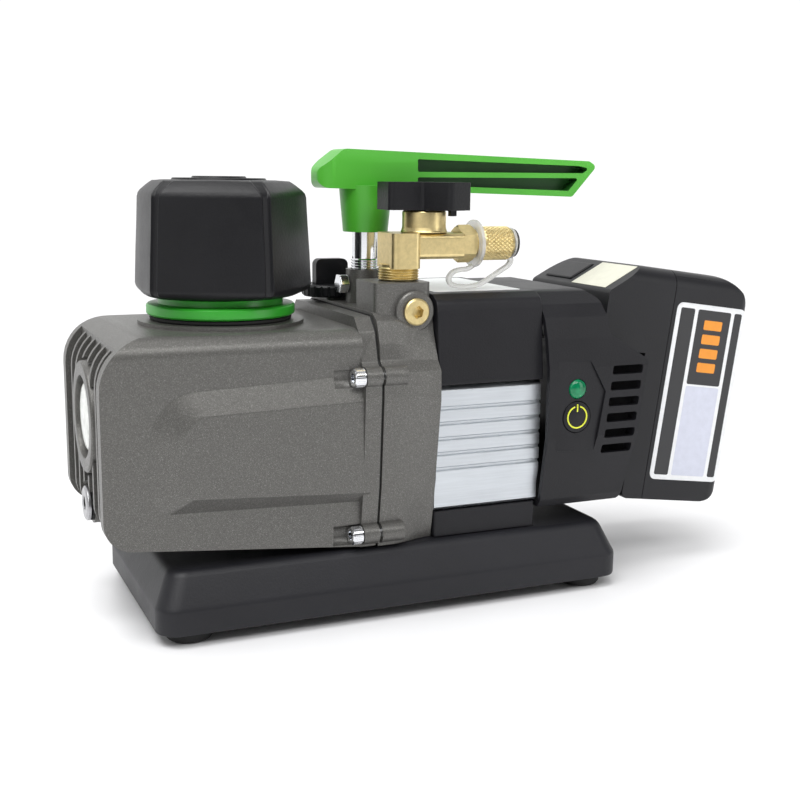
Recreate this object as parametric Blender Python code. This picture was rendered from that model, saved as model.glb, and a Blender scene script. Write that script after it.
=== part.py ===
"""Cordless rotary-vane vacuum pump, standing on its feet at z = 0.

X runs along the pump: the oil tank's sight glass faces -X and the battery is at +X. The inlet
valve and the power button are on the -Y side. Shapes are worked out in millimetres and written
to the meshes in metres.
"""

import math

import bmesh
import bpy
from mathutils import Matrix, Vector

MM = 0.001
# The lengths below are measured from the pump's flange side; this moves the whole to its middle.
CENTRE_X = 33.64
FINE = 28
ROUND = 16
COARSE = 12

# Motor and pump share one axis.
AXIS_Z = 75.5

# Base tray
TRAY_HALF_LENGTH = 116.0
TRAY_HALF_WIDTH = 58.4
TRAY_TOP_HALF_LENGTH = 109.2
TRAY_TOP_HALF_WIDTH = 50.9
TRAY_BOTTOM = 5.5
TRAY_LIP = 17.0
TRAY_TOP = 32.4
TRAY_WALL = 3.0
FOOT_X = 100.0
FOOT_Y = 44.0
FOOT_RADIUS = 10.5

# Oil tank
TANK_LEFT = -136.3
TANK_END_WALL = -128.0
TANK_TOP = 133.5
TANK_HALF_WIDTH = 49.0
FLANGE_LEFT = -21.0
FLANGE_RIGHT = -13.3
UPPER_SCREW = (52.6, 112.6)
LOWER_SCREW = (50.4, 39.6)
LUG_RADIUS = 4.7
SIGHT_Z = 93.0
BEZEL_LEFT = -136.0
DRAIN_Z = 53.0

# Filler and exhaust cap
FILLER_X = -71.2
RING_RADIUS = 34.0
RING_BOTTOM = 137.5
RING_TOP = 142.6
COLLAR_RADIUS = 28.6
COLLAR_TOP = 145.7
NECK_RADIUS = 27.0
CAP_BOTTOM = 146.2
CAP_SIDES = 5
CAP_TURN = -114.6

# Pump housing
HOUSING_LEFT = -12.1
HOUSING_RIGHT = 17.0
HOUSING_TOP = 139.8
BLOCK_TOP = 153.0
BLOCK_FRONT = -42.0
BLOCK_BACK = -15.0
PORT_X = 7.5
PORT_Z = 140.0
KNOB_X = -7.0
KNOB_Y = 28.0
CLAMP_Z = 149.0

# Inlet valve
VALVE_X = 5.8
VALVE_Y = -28.3
BONNET_X = 18.5
VALVE_AXIS_Z = 169.5
VALVE_TOP = 175.0

# Handle
HANDLE_Y = 5.0
POST_X = 2.6
POST_RADIUS = 6.4
POST_THREAD_RADIUS = 6.9
GRIP_HALF_WIDTH = 9.3

# Motor and rear housing
MOTOR_LEFT = 17.4
MOTOR_RIGHT = 72.6
MOTOR_HALF_WIDTH = 48.0
REAR_LEFT = 73.0
REAR_WALL = 2.6
BUTTON_X = 89.3
BUTTON_Z = 87.2
LED_Z = 100.9

# Battery, in its own tilted frame: x is away from the housing and z is up its rails.
BATTERY_ORIGIN = (119.0, 0.0, 40.0)
BATTERY_TILT = 7.8
BATTERY_HALF_WIDTH = 38.0
SHELL_FRONT = 9.5
SHELL_BACK = 22.0
PACK_BACK = 72.5
PACK_HEIGHT = 119.0

MATERIALS = {
    "black_plastic": ((0.045, 0.045, 0.052), 0.45, 0.0),
    "black_rubber": ((0.02, 0.02, 0.02), 0.8, 0.0),
    "grey_paint": ((0.16, 0.16, 0.15), 0.45, 0.35),
    "green_plastic": ((0.08, 0.42, 0.06), 0.4, 0.0),
    "dark_green": ((0.03, 0.2, 0.03), 0.45, 0.0),
    "brass": ((0.62, 0.5, 0.22), 0.3, 1.0),
    "steel": ((0.6, 0.6, 0.6), 0.3, 1.0),
    "aluminium": ((0.7, 0.72, 0.74), 0.35, 0.9),
    "lens": ((0.85, 0.87, 0.85), 0.1, 0.0),
    "led": ((0.0, 0.45, 0.16), 0.2, 0.0),
    "clear_strap": ((0.8, 0.8, 0.76), 0.3, 0.0),
    "copper": ((0.55, 0.25, 0.12), 0.35, 0.9),
    "board": ((0.03, 0.18, 0.07), 0.5, 0.0),
    "carbon": ((0.08, 0.08, 0.08), 0.6, 0.0),
    "paper": ((0.6, 0.55, 0.4), 0.9, 0.0),
    "cell_blue": ((0.05, 0.15, 0.4), 0.4, 0.0),
}


def clear_scene():
    for obj in list(bpy.data.objects):
        bpy.data.objects.remove(obj, do_unlink=True)


def make_materials():
    made = {}
    for name, (colour, roughness, metallic) in MATERIALS.items():
        material = bpy.data.materials.new(name)
        material.use_nodes = True
        shader = material.node_tree.nodes["Principled BSDF"]
        shader.inputs["Base Color"].default_value = (*colour, 1.0)
        shader.inputs["Roughness"].default_value = roughness
        shader.inputs["Metallic"].default_value = metallic
        made[name] = material
    return made


# ---- outlines ---------------------------------------------------------------------------------


def rounded(points, radii, steps=4):
    """The polygon with each corner replaced by an arc of its radius."""
    count = len(points)
    if not hasattr(radii, "__len__"):
        radii = [radii] * count
    outline = []
    for index in range(count):
        here = Vector(points[index])
        before = Vector(points[index - 1]) - here
        after = Vector(points[(index + 1) % count]) - here
        radius = radii[index]
        if radius <= 0:
            outline.append(tuple(here))
            continue
        half = before.angle(after) / 2
        reach = radius / math.tan(half)
        reach = min(reach, before.length * 0.49, after.length * 0.49)
        radius = reach * math.tan(half)
        middle = (before.normalized() + after.normalized()).normalized()
        centre = here + middle * (radius / math.sin(half))
        first = here + before.normalized() * reach - centre
        last = here + after.normalized() * reach - centre
        turn = first.angle_signed(last)
        for step in range(steps + 1):
            angle = -turn * step / steps
            cosine = math.cos(angle)
            sine = math.sin(angle)
            x = first.x * cosine - first.y * sine
            y = first.x * sine + first.y * cosine
            outline.append((centre.x + x, centre.y + y))
    return outline


def rectangle(low_x, low_y, high_x, high_y, radius=0.0, steps=4):
    corners = [(low_x, low_y), (high_x, low_y), (high_x, high_y), (low_x, high_y)]
    return rounded(corners, radius, steps)


def mirrored(half):
    """A closed outline from its +first-axis half, given from bottom to top."""
    return list(half) + [(-a, b) for a, b in reversed(half)]


def circle(radius, steps=ROUND, centre=(0.0, 0.0), start=0.0):
    points = []
    for step in range(steps):
        angle = start + 2 * math.pi * step / steps
        points.append((centre[0] + radius * math.cos(angle), centre[1] + radius * math.sin(angle)))
    return points


def hexagon(across_flats, centre=(0.0, 0.0), start=0.0):
    return circle(across_flats / 2 / math.cos(math.pi / 6), 6, centre, start)


# ---- solids -----------------------------------------------------------------------------------


def finish_solid(solid):
    bmesh.ops.recalc_face_normals(solid, faces=solid.faces)
    if solid.calc_volume(signed=True) < 0:
        bmesh.ops.reverse_faces(solid, faces=solid.faces)
    return solid


def loft(rings, close_ends=True, loop=False):
    """A solid through rings of points with the same number of points each."""
    solid = bmesh.new()
    rows = [[solid.verts.new(point) for point in ring] for ring in rings]
    count = len(rows[0])
    spans = len(rows) if loop else len(rows) - 1
    for row in range(spans):
        lower = rows[row]
        upper = rows[(row + 1) % len(rows)]
        for index in range(count):
            following = (index + 1) % count
            solid.faces.new((lower[index], lower[following], upper[following], upper[index]))
    if close_ends and not loop:
        solid.faces.new(list(reversed(rows[0])))
        solid.faces.new(rows[-1])
    return finish_solid(solid)


def prism(outline, axis, low, high):
    """The outline swept along an axis. Its points are (y, z), (x, z) or (x, y)."""
    rings = []
    for level in (low, high):
        if axis == "X":
            rings.append([(level, a, b) for a, b in outline])
        elif axis == "Y":
            rings.append([(a, level, b) for a, b in outline])
        else:
            rings.append([(a, b, level) for a, b in outline])
    return loft(rings)


def box(low, high):
    outline = [(low[0], low[1]), (high[0], low[1]), (high[0], high[1]), (low[0], high[1])]
    return prism(outline, "Z", low[2], high[2])


def cylinder(radius, low, high, axis="Z", centre=(0.0, 0.0, 0.0), steps=ROUND):
    """A plain cylinder. Each radius starts at its own angle, so that no two have edges in line."""
    profile = [(0.0, low), (radius, low), (radius, high), (0.0, high)]
    return turned(profile, axis, centre, steps, 0.11 * radius)


def turned(profile, axis="Z", centre=(0.0, 0.0, 0.0), steps=ROUND, start=0.0):
    """A closed profile of (radius, height) turned round an axis. Radius 0 makes a pole."""
    solid = bmesh.new()
    rows = []
    for radius, height in profile:
        if radius < 1e-6:
            rows.append([solid.verts.new((0.0, 0.0, height))])
            continue
        ring = []
        for step in range(steps):
            angle = start + 2 * math.pi * step / steps
            ring.append(solid.verts.new((radius * math.cos(angle), radius * math.sin(angle), height)))
        rows.append(ring)
    for row in range(len(rows)):
        lower = rows[row]
        upper = rows[(row + 1) % len(rows)]
        if len(lower) == 1 and len(upper) == 1:
            continue
        for index in range(steps):
            following = (index + 1) % steps
            if len(lower) == 1:
                solid.faces.new((lower[0], upper[following], upper[index]))
            elif len(upper) == 1:
                solid.faces.new((lower[index], lower[following], upper[0]))
            else:
                solid.faces.new((lower[index], lower[following], upper[following], upper[index]))
    turn = Matrix.Identity(4)
    if axis == "X":
        turn = Matrix.Rotation(math.radians(90), 4, "Y")
    elif axis == "Y":
        turn = Matrix.Rotation(math.radians(-90), 4, "X")
    bmesh.ops.transform(solid, matrix=Matrix.Translation(centre) @ turn, verts=solid.verts)
    return finish_solid(solid)


def ring(inner, outer, low, high, axis="Z", centre=(0.0, 0.0, 0.0), steps=ROUND):
    return turned([(inner, low), (outer, low), (outer, high), (inner, high)], axis, centre, steps)


# ---- objects ----------------------------------------------------------------------------------


class Assembly:
    """Makes the named objects and keeps the materials and the helper cutters."""

    def __init__(self):
        self.materials = make_materials()
        self.cutters = 0
        self.parents = {}

    def mesh_object(self, name, solid, origin, parent):
        to_local = Matrix.Scale(MM, 4) @ Matrix.Translation(-Vector(origin))
        bmesh.ops.transform(solid, matrix=to_local, verts=solid.verts)
        mesh = bpy.data.meshes.new(name)
        solid.to_mesh(mesh)
        solid.free()
        obj = bpy.data.objects.new(name, mesh)
        shift = Vector((0.0 if parent else CENTRE_X, 0.0, 0.0))
        obj.location = (Vector(origin) - shift) * MM
        bpy.context.scene.collection.objects.link(obj)
        if parent:
            obj.parent = self.parents[parent]
        return obj

    def part(self, name, solid, material, origin=(0.0, 0.0, 0.0), parent=None, smooth=40.0):
        obj = self.mesh_object(name, solid, origin, parent)
        obj.data.materials.append(self.materials[material])
        obj.data.shade_smooth()
        obj.data.set_sharp_from_angle(angle=math.radians(smooth))
        return obj

    def combine(self, obj, solid, operation="DIFFERENCE", parent=None):
        """Cuts a solid from an object, or joins it to the object, with a live Boolean."""
        self.cutters += 1
        name = "helper_%02d" % self.cutters
        helper = self.mesh_object(name, solid, (0.0, 0.0, 0.0), parent)
        helper.hide_render = True
        helper.display_type = "WIRE"
        modifier = obj.modifiers.new(name, "BOOLEAN")
        modifier.operation = operation
        modifier.solver = "EXACT"
        modifier.object = helper

    def empty(self, name, location, tilt_degrees):
        holder = bpy.data.objects.new(name, None)
        holder.location = (Vector(location) - Vector((CENTRE_X, 0.0, 0.0))) * MM
        holder.rotation_euler = (0.0, math.radians(tilt_degrees), 0.0)
        bpy.context.scene.collection.objects.link(holder)
        self.parents[name] = holder


# ---- base -------------------------------------------------------------------------------------


def tray_ring(half_length, half_width, radius, z):
    outline = rectangle(-half_length, -half_width, half_length, half_width, radius)
    return [(x, y, z) for x, y in outline]


def base_tray(build):
    inside = TRAY_WALL
    rings = [
        tray_ring(TRAY_HALF_LENGTH - inside, TRAY_HALF_WIDTH - inside, 7.0, TRAY_BOTTOM),
        tray_ring(TRAY_HALF_LENGTH - 1.0, TRAY_HALF_WIDTH - 1.0, 9.0, TRAY_BOTTOM),
        tray_ring(TRAY_HALF_LENGTH, TRAY_HALF_WIDTH, 10.0, TRAY_BOTTOM + 1.5),
        tray_ring(TRAY_HALF_LENGTH, TRAY_HALF_WIDTH, 10.0, TRAY_LIP),
        tray_ring(TRAY_TOP_HALF_LENGTH, TRAY_TOP_HALF_WIDTH, 8.0, TRAY_TOP),
    ]
    tray = build.part("base_tray", loft(rings), "black_plastic")
    hollow = [
        tray_ring(TRAY_HALF_LENGTH - inside, TRAY_HALF_WIDTH - inside, 7.0, TRAY_BOTTOM - 2.0),
        tray_ring(TRAY_HALF_LENGTH - inside, TRAY_HALF_WIDTH - inside, 7.0, TRAY_LIP - 0.5),
        tray_ring(TRAY_TOP_HALF_LENGTH - inside, TRAY_TOP_HALF_WIDTH - inside, 5.0, TRAY_TOP - inside),
    ]
    build.combine(tray, loft(hollow))
    for x in (-FOOT_X, FOOT_X):
        for y in (-FOOT_Y, FOOT_Y):
            boss = cylinder(7.0, 6.4, 30.9, "Z", (x, y, 0.0), 12)
            build.combine(tray, boss, "UNION")


def feet(build):
    profile = [(0.0, 0.0), (8.6, 0.0), (FOOT_RADIUS, 1.2), (FOOT_RADIUS, 4.4), (9.2, 6.1), (0.0, 6.1)]
    number = 0
    for x in (-FOOT_X, FOOT_X):
        for y in (-FOOT_Y, FOOT_Y):
            number += 1
            solid = turned(profile, centre=(x, y, 0.0), steps=COARSE)
            build.part("foot_%d" % number, solid, "black_rubber", (x, y, 0.0))


# ---- oil tank ---------------------------------------------------------------------------------

FLANGE_HALF = [
    (49.0, 33.2),
    (53.0, 62.0),
    (55.3, 104.0),
    (55.3, 114.0),
    (50.0, 118.6),
    (46.0, 132.0),
    (40.0, 138.3),
]


def flange_screw_places():
    places = []
    for y, z in (UPPER_SCREW, LOWER_SCREW):
        places.append((-y, z))
        places.append((y, z))
    return places


def tank_side(inset):
    """The tank seen from the side. Its floor falls towards the flange."""
    points = [
        (FLANGE_LEFT + 1.0, 33.4 + inset),
        (FLANGE_LEFT + 1.0, TANK_TOP - inset),
        (TANK_LEFT + inset, TANK_TOP - inset),
        (TANK_LEFT + inset, 44.0 + inset),
    ]
    return rounded(points, [0.0, 0.0, 22.0 - inset, 13.0 - inset * 0.5], 6)


def tank_end():
    half = TANK_HALF_WIDTH
    points = [(-half, 20.0), (half, 20.0), (half, TANK_TOP), (-half, TANK_TOP)]
    return rounded(points, [0.0, 0.0, 9.0, 9.0], 4)


def side_panel(side):
    """The raised panel on a tank side. It stands a little prouder towards its middle."""
    right = FLANGE_LEFT + 3.0
    outer = rounded([(-117.0, 57.5), (right, 54.5), (right, 114.2), (-117.0, 110.0)], [9.0, 0.1, 0.1, 22.0])
    inner = rounded([(-101.5, 64.8), (right, 60.0), (right, 101.6), (-101.5, 99.4)], [4.0, 0.1, 0.1, 10.0])
    rings = []
    for outline, depth in ((outer, -3.0), (outer, 0.0), (inner, 4.6)):
        rings.append([(x, side * (TANK_HALF_WIDTH + depth), z) for x, z in outline])
    return loft(rings)


def end_fin(y):
    """A rib of the end face. It follows the tank's rounded side outline."""
    low_x = TANK_END_WALL + 1.5
    points = [(x, z) for x, z in tank_side(1.2) if x < low_x]
    points.insert(0, (low_x, points[0][1]))
    points.append((low_x, points[-1][1]))
    return prism(points, "Y", y - 1.6, y + 1.6)


def hollow_side():
    points = [
        (FLANGE_RIGHT + 4.0, 39.5),
        (FLANGE_RIGHT + 4.0, TANK_TOP - 5.0),
        (-124.0, TANK_TOP - 5.0),
        (-124.0, 45.5),
    ]
    return rounded(points, [0.0, 0.0, 16.0, 7.0], 4)


def oil_tank(build):
    tank = build.part("oil_tank", prism(tank_side(0.0), "Y", -60.0, 60.0), "grey_paint")
    build.combine(tank, prism(tank_end(), "X", -150.0, FLANGE_LEFT + 5.0), "INTERSECT")
    for side in (-1.0, 1.0):
        build.combine(tank, side_panel(side), "UNION")
    build.combine(tank, prism(rectangle(-42.0, 20.0, 42.0, 150.0), "X", -150.0, TANK_END_WALL))
    for y in (-31.5, -18.9, -6.3, 6.3, 18.9, 31.5):
        build.combine(tank, end_fin(y), "UNION")
    build.combine(tank, cylinder(26.6, -142.0, -127.8, "X", (0.0, 0.0, SIGHT_Z), FINE))
    build.combine(tank, cylinder(10.6, -142.0, -128.6, "X", (0.0, 0.0, DRAIN_Z), 16))
    build.combine(tank, cylinder(9.3, -132.8, -126.0, "X", (0.0, 0.0, DRAIN_Z), 16), "UNION")
    build.combine(tank, cylinder(38.0, 131.0, 135.2, "Z", (FILLER_X, 0.0, 0.0), FINE), "UNION")
    build.combine(tank, prism(mirrored(FLANGE_HALF), "X", FLANGE_LEFT, FLANGE_RIGHT), "UNION")
    for y, z in flange_screw_places():
        lug = cylinder(LUG_RADIUS, FLANGE_LEFT + 0.1, FLANGE_RIGHT - 0.1, "X", (0.0, y, z), 12)
        build.combine(tank, lug, "UNION")
    build.combine(tank, prism(hollow_side(), "Y", -TANK_HALF_WIDTH + 6.5, TANK_HALF_WIDTH - 6.5))
    for y, z in flange_screw_places():
        build.combine(tank, cylinder(4.9, -34.0, FLANGE_LEFT, "X", (0.0, y, z), 12))
    build.combine(tank, cylinder(15.0, -142.0, -118.0, "X", (0.0, 0.0, SIGHT_Z)))
    build.combine(tank, cylinder(5.3, -142.0, -118.0, "X", (0.0, 0.0, DRAIN_Z), COARSE))
    build.combine(tank, cylinder(25.9, 120.0, 140.0, "Z", (FILLER_X, 0.0, 0.0), FINE))
    for y, z in flange_screw_places():
        build.combine(tank, cylinder(2.8, -26.0, -9.0, "X", (0.0, y, z), 10))


def tank_gasket(build):
    half = [(y - 0.8, z + 0.4) for y, z in FLANGE_HALF]
    gasket = build.part("tank_gasket", prism(mirrored(half), "X", -13.0, -12.4), "black_rubber")
    build.combine(gasket, prism(rectangle(-42.5, 41.0, 42.5, 128.0), "X", -20.0, 0.0))
    for y, z in flange_screw_places():
        build.combine(gasket, cylinder(4.9, -20.0, 0.0, "X", (0.0, y, z), 10))


def sight_glass(build):
    centre = (0.0, 0.0, SIGHT_Z)
    bezel = [
        (18.6, BEZEL_LEFT),
        (24.4, BEZEL_LEFT),
        (25.2, BEZEL_LEFT + 0.8),
        (26.0, -128.3),
        (22.3, -128.3),
        (22.3, -129.6),
        (18.6, -129.6),
    ]
    build.part("sight_glass_bezel", turned(bezel, "X", centre, FINE), "grey_paint")
    lens = [
        (0.0, -134.8),
        (7.0, -134.4),
        (12.5, -133.2),
        (16.4, -131.4),
        (18.2, -131.0),
        (18.2, -129.3),
        (22.0, -129.3),
        (22.0, -128.3),
        (0.0, -128.3),
    ]
    build.part("sight_glass_lens", turned(lens, "X", centre, FINE), "lens")


def drain(build):
    centre = (0.0, 0.0, DRAIN_Z)
    profile = [
        (0.0, -136.4),
        (7.2, -136.4),
        (8.0, -135.8),
        (8.0, -134.2),
        (4.9, -134.2),
        (4.9, -125.0),
        (0.0, -125.0),
    ]
    plug = build.part("drain_plug", turned(profile, "X", centre, COARSE), "steel", centre)
    build.combine(plug, prism(hexagon(6.0, (0.0, DRAIN_Z)), "X", -140.0, -132.5))
    seal = ring(5.4, 8.2, -133.9, -133.1, "X", centre, COARSE)
    build.part("drain_seal", seal, "black_rubber", centre)


# ---- filler and exhaust cap -------------------------------------------------------------------


def cap_plan(half, z, bulge=0.8, groove=0.0, share=0.635):
    """One level of the cap: five slightly bowed faces with a narrow strip at each corner."""
    face = half * share
    side_turn = 2 * math.pi / CAP_SIDES
    points = []
    for side in range(CAP_SIDES):
        angle = math.radians(CAP_TURN) + side * side_turn
        local = []
        for step in range(5):
            across = face * (step / 2.0 - 1.0)
            local.append(Vector((half - bulge * (across / face) ** 2, across)))
        first = local[-1]
        last = Matrix.Rotation(side_turn, 2) @ Vector((half - bulge, -face))
        inward = -(first + last).normalized() * groove
        for step in (0.08, 0.5, 0.92):
            local.append(first.lerp(last, step) + inward)
        for point in local:
            placed = Matrix.Rotation(angle, 2) @ point
            points.append((FILLER_X + placed.x, placed.y, z))
    return points


def cap_circle(radius, z):
    points = []
    for x, y, _ in cap_plan(36.0, z):
        angle = math.atan2(y, x - FILLER_X)
        points.append((FILLER_X + radius * math.cos(angle), radius * math.sin(angle), z))
    return points


def filler(build):
    centre = (FILLER_X, 0.0, 0.0)
    gasket = ring(27.0, 32.5, 135.5, 137.2, "Z", centre, FINE)
    build.part("filler_gasket", gasket, "black_rubber", centre)
    profile = [
        (15.0, 128.0),
        (25.5, 128.0),
        (25.5, RING_BOTTOM),
        (RING_RADIUS - 0.8, RING_BOTTOM),
        (RING_RADIUS, RING_BOTTOM + 0.8),
        (RING_RADIUS, RING_TOP - 0.8),
        (RING_RADIUS - 0.8, RING_TOP),
        (COLLAR_RADIUS, RING_TOP),
        (COLLAR_RADIUS, COLLAR_TOP),
        (NECK_RADIUS, COLLAR_TOP),
        (NECK_RADIUS, 166.0),
        (22.0, 166.0),
        (22.0, 131.0),
        (15.0, 131.0),
    ]
    build.part("filler_ring", turned(profile, "Z", centre, FINE), "green_plastic", centre)
    build.part("exhaust_filter", ring(6.0, 19.0, 131.3, 164.0, "Z", centre), "paper", centre)
    build.part("cap_seal", ring(22.3, 27.0, 166.3, 168.0, "Z", centre, FINE), "black_rubber", centre)


def exhaust_cap(build):
    centre = (FILLER_X, 0.0, 0.0)
    rings = [
        cap_circle(33.0, CAP_BOTTOM),
        cap_plan(35.8, 148.1, 0.8, 0.5),
        cap_plan(36.6, 150.6, 0.8, 1.1, 0.64),
        cap_plan(34.8, 190.8, 0.8, 1.1),
        cap_plan(33.6, 193.2, 0.8, 0.6, 0.61),
        cap_plan(28.6, 197.4, 0.6, 0.0, 0.57),
        cap_circle(27.2, 198.0),
        cap_circle(21.3, 198.0),
        cap_circle(21.0, 198.9),
        cap_circle(12.3, 198.9),
        cap_circle(12.0, 199.7),
    ]
    cap = build.part("exhaust_cap", loft(rings), "black_plastic", centre)
    bore = [(0.0, 140.0), (27.6, 140.0), (27.6, 168.3), (21.5, 168.3), (21.5, 190.0), (0.0, 190.0)]
    build.combine(cap, turned(bore, "Z", centre, FINE))


# ---- pump housing -----------------------------------------------------------------------------

HOUSING_FRONT_HALF = [
    (49.0, 32.7),
    (53.0, 62.0),
    (55.4, 102.5),
    (55.3, 114.0),
    (50.1, 119.2),
    (49.3, 126.4),
    (45.6, 136.7),
    (39.7, HOUSING_TOP),
]
HOUSING_REAR_HALF = [
    (43.8, 32.7),
    (46.9, 49.4),
    (53.4, 100.0),
    (52.9, 113.5),
    (49.0, 118.2),
    (46.8, 123.0),
    (43.6, 131.0),
    (41.7, HOUSING_TOP),
]


def pump_housing(build):
    front = [(HOUSING_LEFT, y, z) for y, z in mirrored(HOUSING_FRONT_HALF)]
    middle = [(-5.0, y, z) for y, z in mirrored(HOUSING_FRONT_HALF)]
    rear = [(HOUSING_RIGHT, y, z) for y, z in mirrored(HOUSING_REAR_HALF)]
    housing = build.part("pump_housing", loft([front, middle, rear]), "grey_paint")
    block_plan = rectangle(-11.0, BLOCK_FRONT, HOUSING_RIGHT - 0.4, BLOCK_BACK, 3.0, 2)
    block = prism(block_plan, "Z", 130.0, BLOCK_TOP)
    build.combine(housing, block, "UNION")
    boss = [(0.0, -44.8), (8.6, -44.8), (9.3, -44.1), (9.4, -30.0), (0.0, -30.0)]
    build.combine(housing, turned(boss, "Y", (PORT_X, 0.0, PORT_Z), 16), "UNION")
    post = (POST_X, HANDLE_Y, 0.0)
    build.combine(housing, cylinder(9.4, 132.0, 156.0, "Z", post, 16), "UNION")
    build.combine(housing, prism(rectangle(-11.9, 17.0, 4.6, 37.5, 3.0, 2), "Z", 132.0, 140.8), "UNION")
    for y, z in flange_screw_places():
        lug = cylinder(LUG_RADIUS, HOUSING_LEFT + 0.1, -1.0, "X", (0.0, y, z), 12)
        build.combine(housing, lug, "UNION")
    build.combine(housing, cylinder(24.0, -5.0, 30.0, "X", (0.0, 0.0, AXIS_Z)))
    build.combine(housing, cylinder(9.55, -20.0, 0.0, "X", (0.0, 0.0, AXIS_Z), 20))
    build.combine(housing, cylinder(7.8, 144.0, 160.0, "Z", (VALVE_X, VALVE_Y, 0.0), 16))
    build.combine(housing, cylinder(2.5, 82.0, 150.0, "Z", (VALVE_X, VALVE_Y, 0.0), 12))
    build.combine(housing, cylinder(2.5, -20.0, VALVE_X, "X", (0.0, VALVE_Y, 84.0), 12))
    build.combine(housing, cylinder(5.2, -50.0, -35.5, "Y", (PORT_X, 0.0, PORT_Z), 16))
    build.combine(housing, cylinder(POST_THREAD_RADIUS + 0.25, 143.0, 160.0, "Z", post, 16))
    build.combine(housing, cylinder(2.7, -12.0, POST_X, "X", (0.0, HANDLE_Y, CLAMP_Z), 12))
    build.combine(housing, cylinder(4.1, 134.0, 145.0, "Z", (KNOB_X, KNOB_Y, 0.0), 20))
    for y, z in flange_screw_places():
        build.combine(housing, cylinder(2.8, -20.0, -3.0, "X", (0.0, y, z), 10))


def flange_screws(build):
    profile = [
        (0.0, -26.3),
        (3.9, -26.3),
        (4.25, -25.9),
        (4.25, FLANGE_LEFT - 0.3),
        (2.5, FLANGE_LEFT - 0.3),
        (2.5, -4.0),
        (0.0, -4.0),
    ]
    for number, (y, z) in enumerate(flange_screw_places(), 1):
        centre = (0.0, y, z)
        solid = turned(profile, "X", centre, COARSE)
        screw = build.part("flange_screw_%d" % number, solid, "steel", centre)
        build.combine(screw, prism(hexagon(4.0, (y, z)), "X", -30.0, -23.6))




def housing_fittings(build):
    centre = (PORT_X, 0.0, PORT_Z)
    profile = [
        (0.0, -46.9),
        (5.6, -46.9),
        (6.2, -46.3),
        (6.2, -45.1),
        (4.9, -45.1),
        (4.9, -36.0),
        (0.0, -36.0),
    ]
    plug = build.part("side_port_plug", turned(profile, "Y", centre, 16), "brass", centre)
    build.combine(plug, prism(hexagon(5.0, (PORT_X, PORT_Z)), "Y", -50.0, -43.4))
    # The clamp screw bears on the handle post inside its boss.
    screw = prism(hexagon(8.7, (HANDLE_Y, CLAMP_Z)), "X", -11.6, -7.0)
    clamp = build.part("post_clamp_screw", screw, "steel", (0.0, HANDLE_Y, CLAMP_Z))
    build.combine(clamp, cylinder(2.4, -9.0, -4.5, "X", (0.0, HANDLE_Y, CLAMP_Z), 12), "UNION")
    knob = [
        (0.0, 136.5),
        (4.0, 136.5),
        (4.0, 141.1),
        (13.6, 141.1),
        (14.2, 141.9),
        (14.2, 146.2),
        (13.2, 147.0),
        (0.0, 147.0),
    ]
    disc = turned(knob, "Z", (KNOB_X, KNOB_Y, 0.0), 16)
    base = build.part("gas_ballast_knob", disc, "black_plastic", (KNOB_X, KNOB_Y, 141.0))
    outline = rectangle(KNOB_X - 8.5, 145.0, KNOB_X + 8.5, 159.6, 2.0, 2)
    build.combine(base, prism(outline, "Y", KNOB_Y - 2.8, KNOB_Y + 2.8), "UNION")


# ---- pump parts inside the tank ---------------------------------------------------------------


def pump_internals(build):
    axis = (0.0, 0.0, AXIS_Z)
    cylinder_block = build.part("pump_cylinder", cylinder(32.0, -72.0, -12.4, "X", axis, FINE), "carbon")
    build.combine(cylinder_block, cylinder(24.0, -80.0, 0.0, "X", (0.0, 0.0, AXIS_Z + 3.0), FINE))
    build.combine(cylinder_block, cylinder(2.5, -22.5, 0.0, "X", (0.0, VALVE_Y, 84.0), 12))
    build.combine(cylinder_block, cylinder(2.2, VALVE_Y, -15.0, "Y", (-20.0, 0.0, 84.0), 12))
    build.combine(cylinder_block, cylinder(2.5, 90.0, 120.0, "Z", (-42.0, 14.0, 0.0), 12))
    profile = [
        (0.0, -79.5),
        (6.0, -79.5),
        (6.0, -71.7),
        (20.7, -71.7),
        (20.7, -12.7),
        (6.0, -12.7),
        (6.0, 4.7),
        (0.0, 4.7),
    ]
    rotor = build.part("pump_rotor", turned(profile, "X", axis, FINE), "steel", axis)
    for side in (-1.0, 1.0):
        low = min(side * 8.1, side * 26.0)
        high = max(side * 8.1, side * 26.0)
        build.combine(rotor, box((-71.9, low, AXIS_Z - 1.9), (-12.5, high, AXIS_Z + 1.9)))
    for number, side in ((1, -1.0), (2, 1.0)):
        low = min(side * 8.4, side * 20.3)
        high = max(side * 8.4, side * 20.3)
        vane = box((-71.4, low, AXIS_Z - 1.6), (-13.0, high, AXIS_Z + 1.6))
        build.part("vane_%d" % number, vane, "carbon", axis)
    cover = [
        (0.0, -84.0),
        (30.0, -84.0),
        (32.0, -82.0),
        (32.0, -72.3),
        (6.1, -72.3),
        (6.1, -80.0),
        (0.0, -80.0),
    ]
    build.part("pump_end_cover", turned(cover, "X", axis, FINE), "carbon")
    build.part("shaft_seal", ring(6.1, 9.2, -11.4, -5.6, "X", axis, FINE), "black_rubber")
    sleeve = [
        (6.3, -3.5),
        (14.0, -3.5),
        (14.0, 15.0),
        (4.3, 15.0),
        (4.3, 5.0),
        (6.3, 5.0),
    ]
    build.part("coupling", turned(sleeve, "X", axis), "steel", axis)


# ---- inlet valve ------------------------------------------------------------------------------


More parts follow.
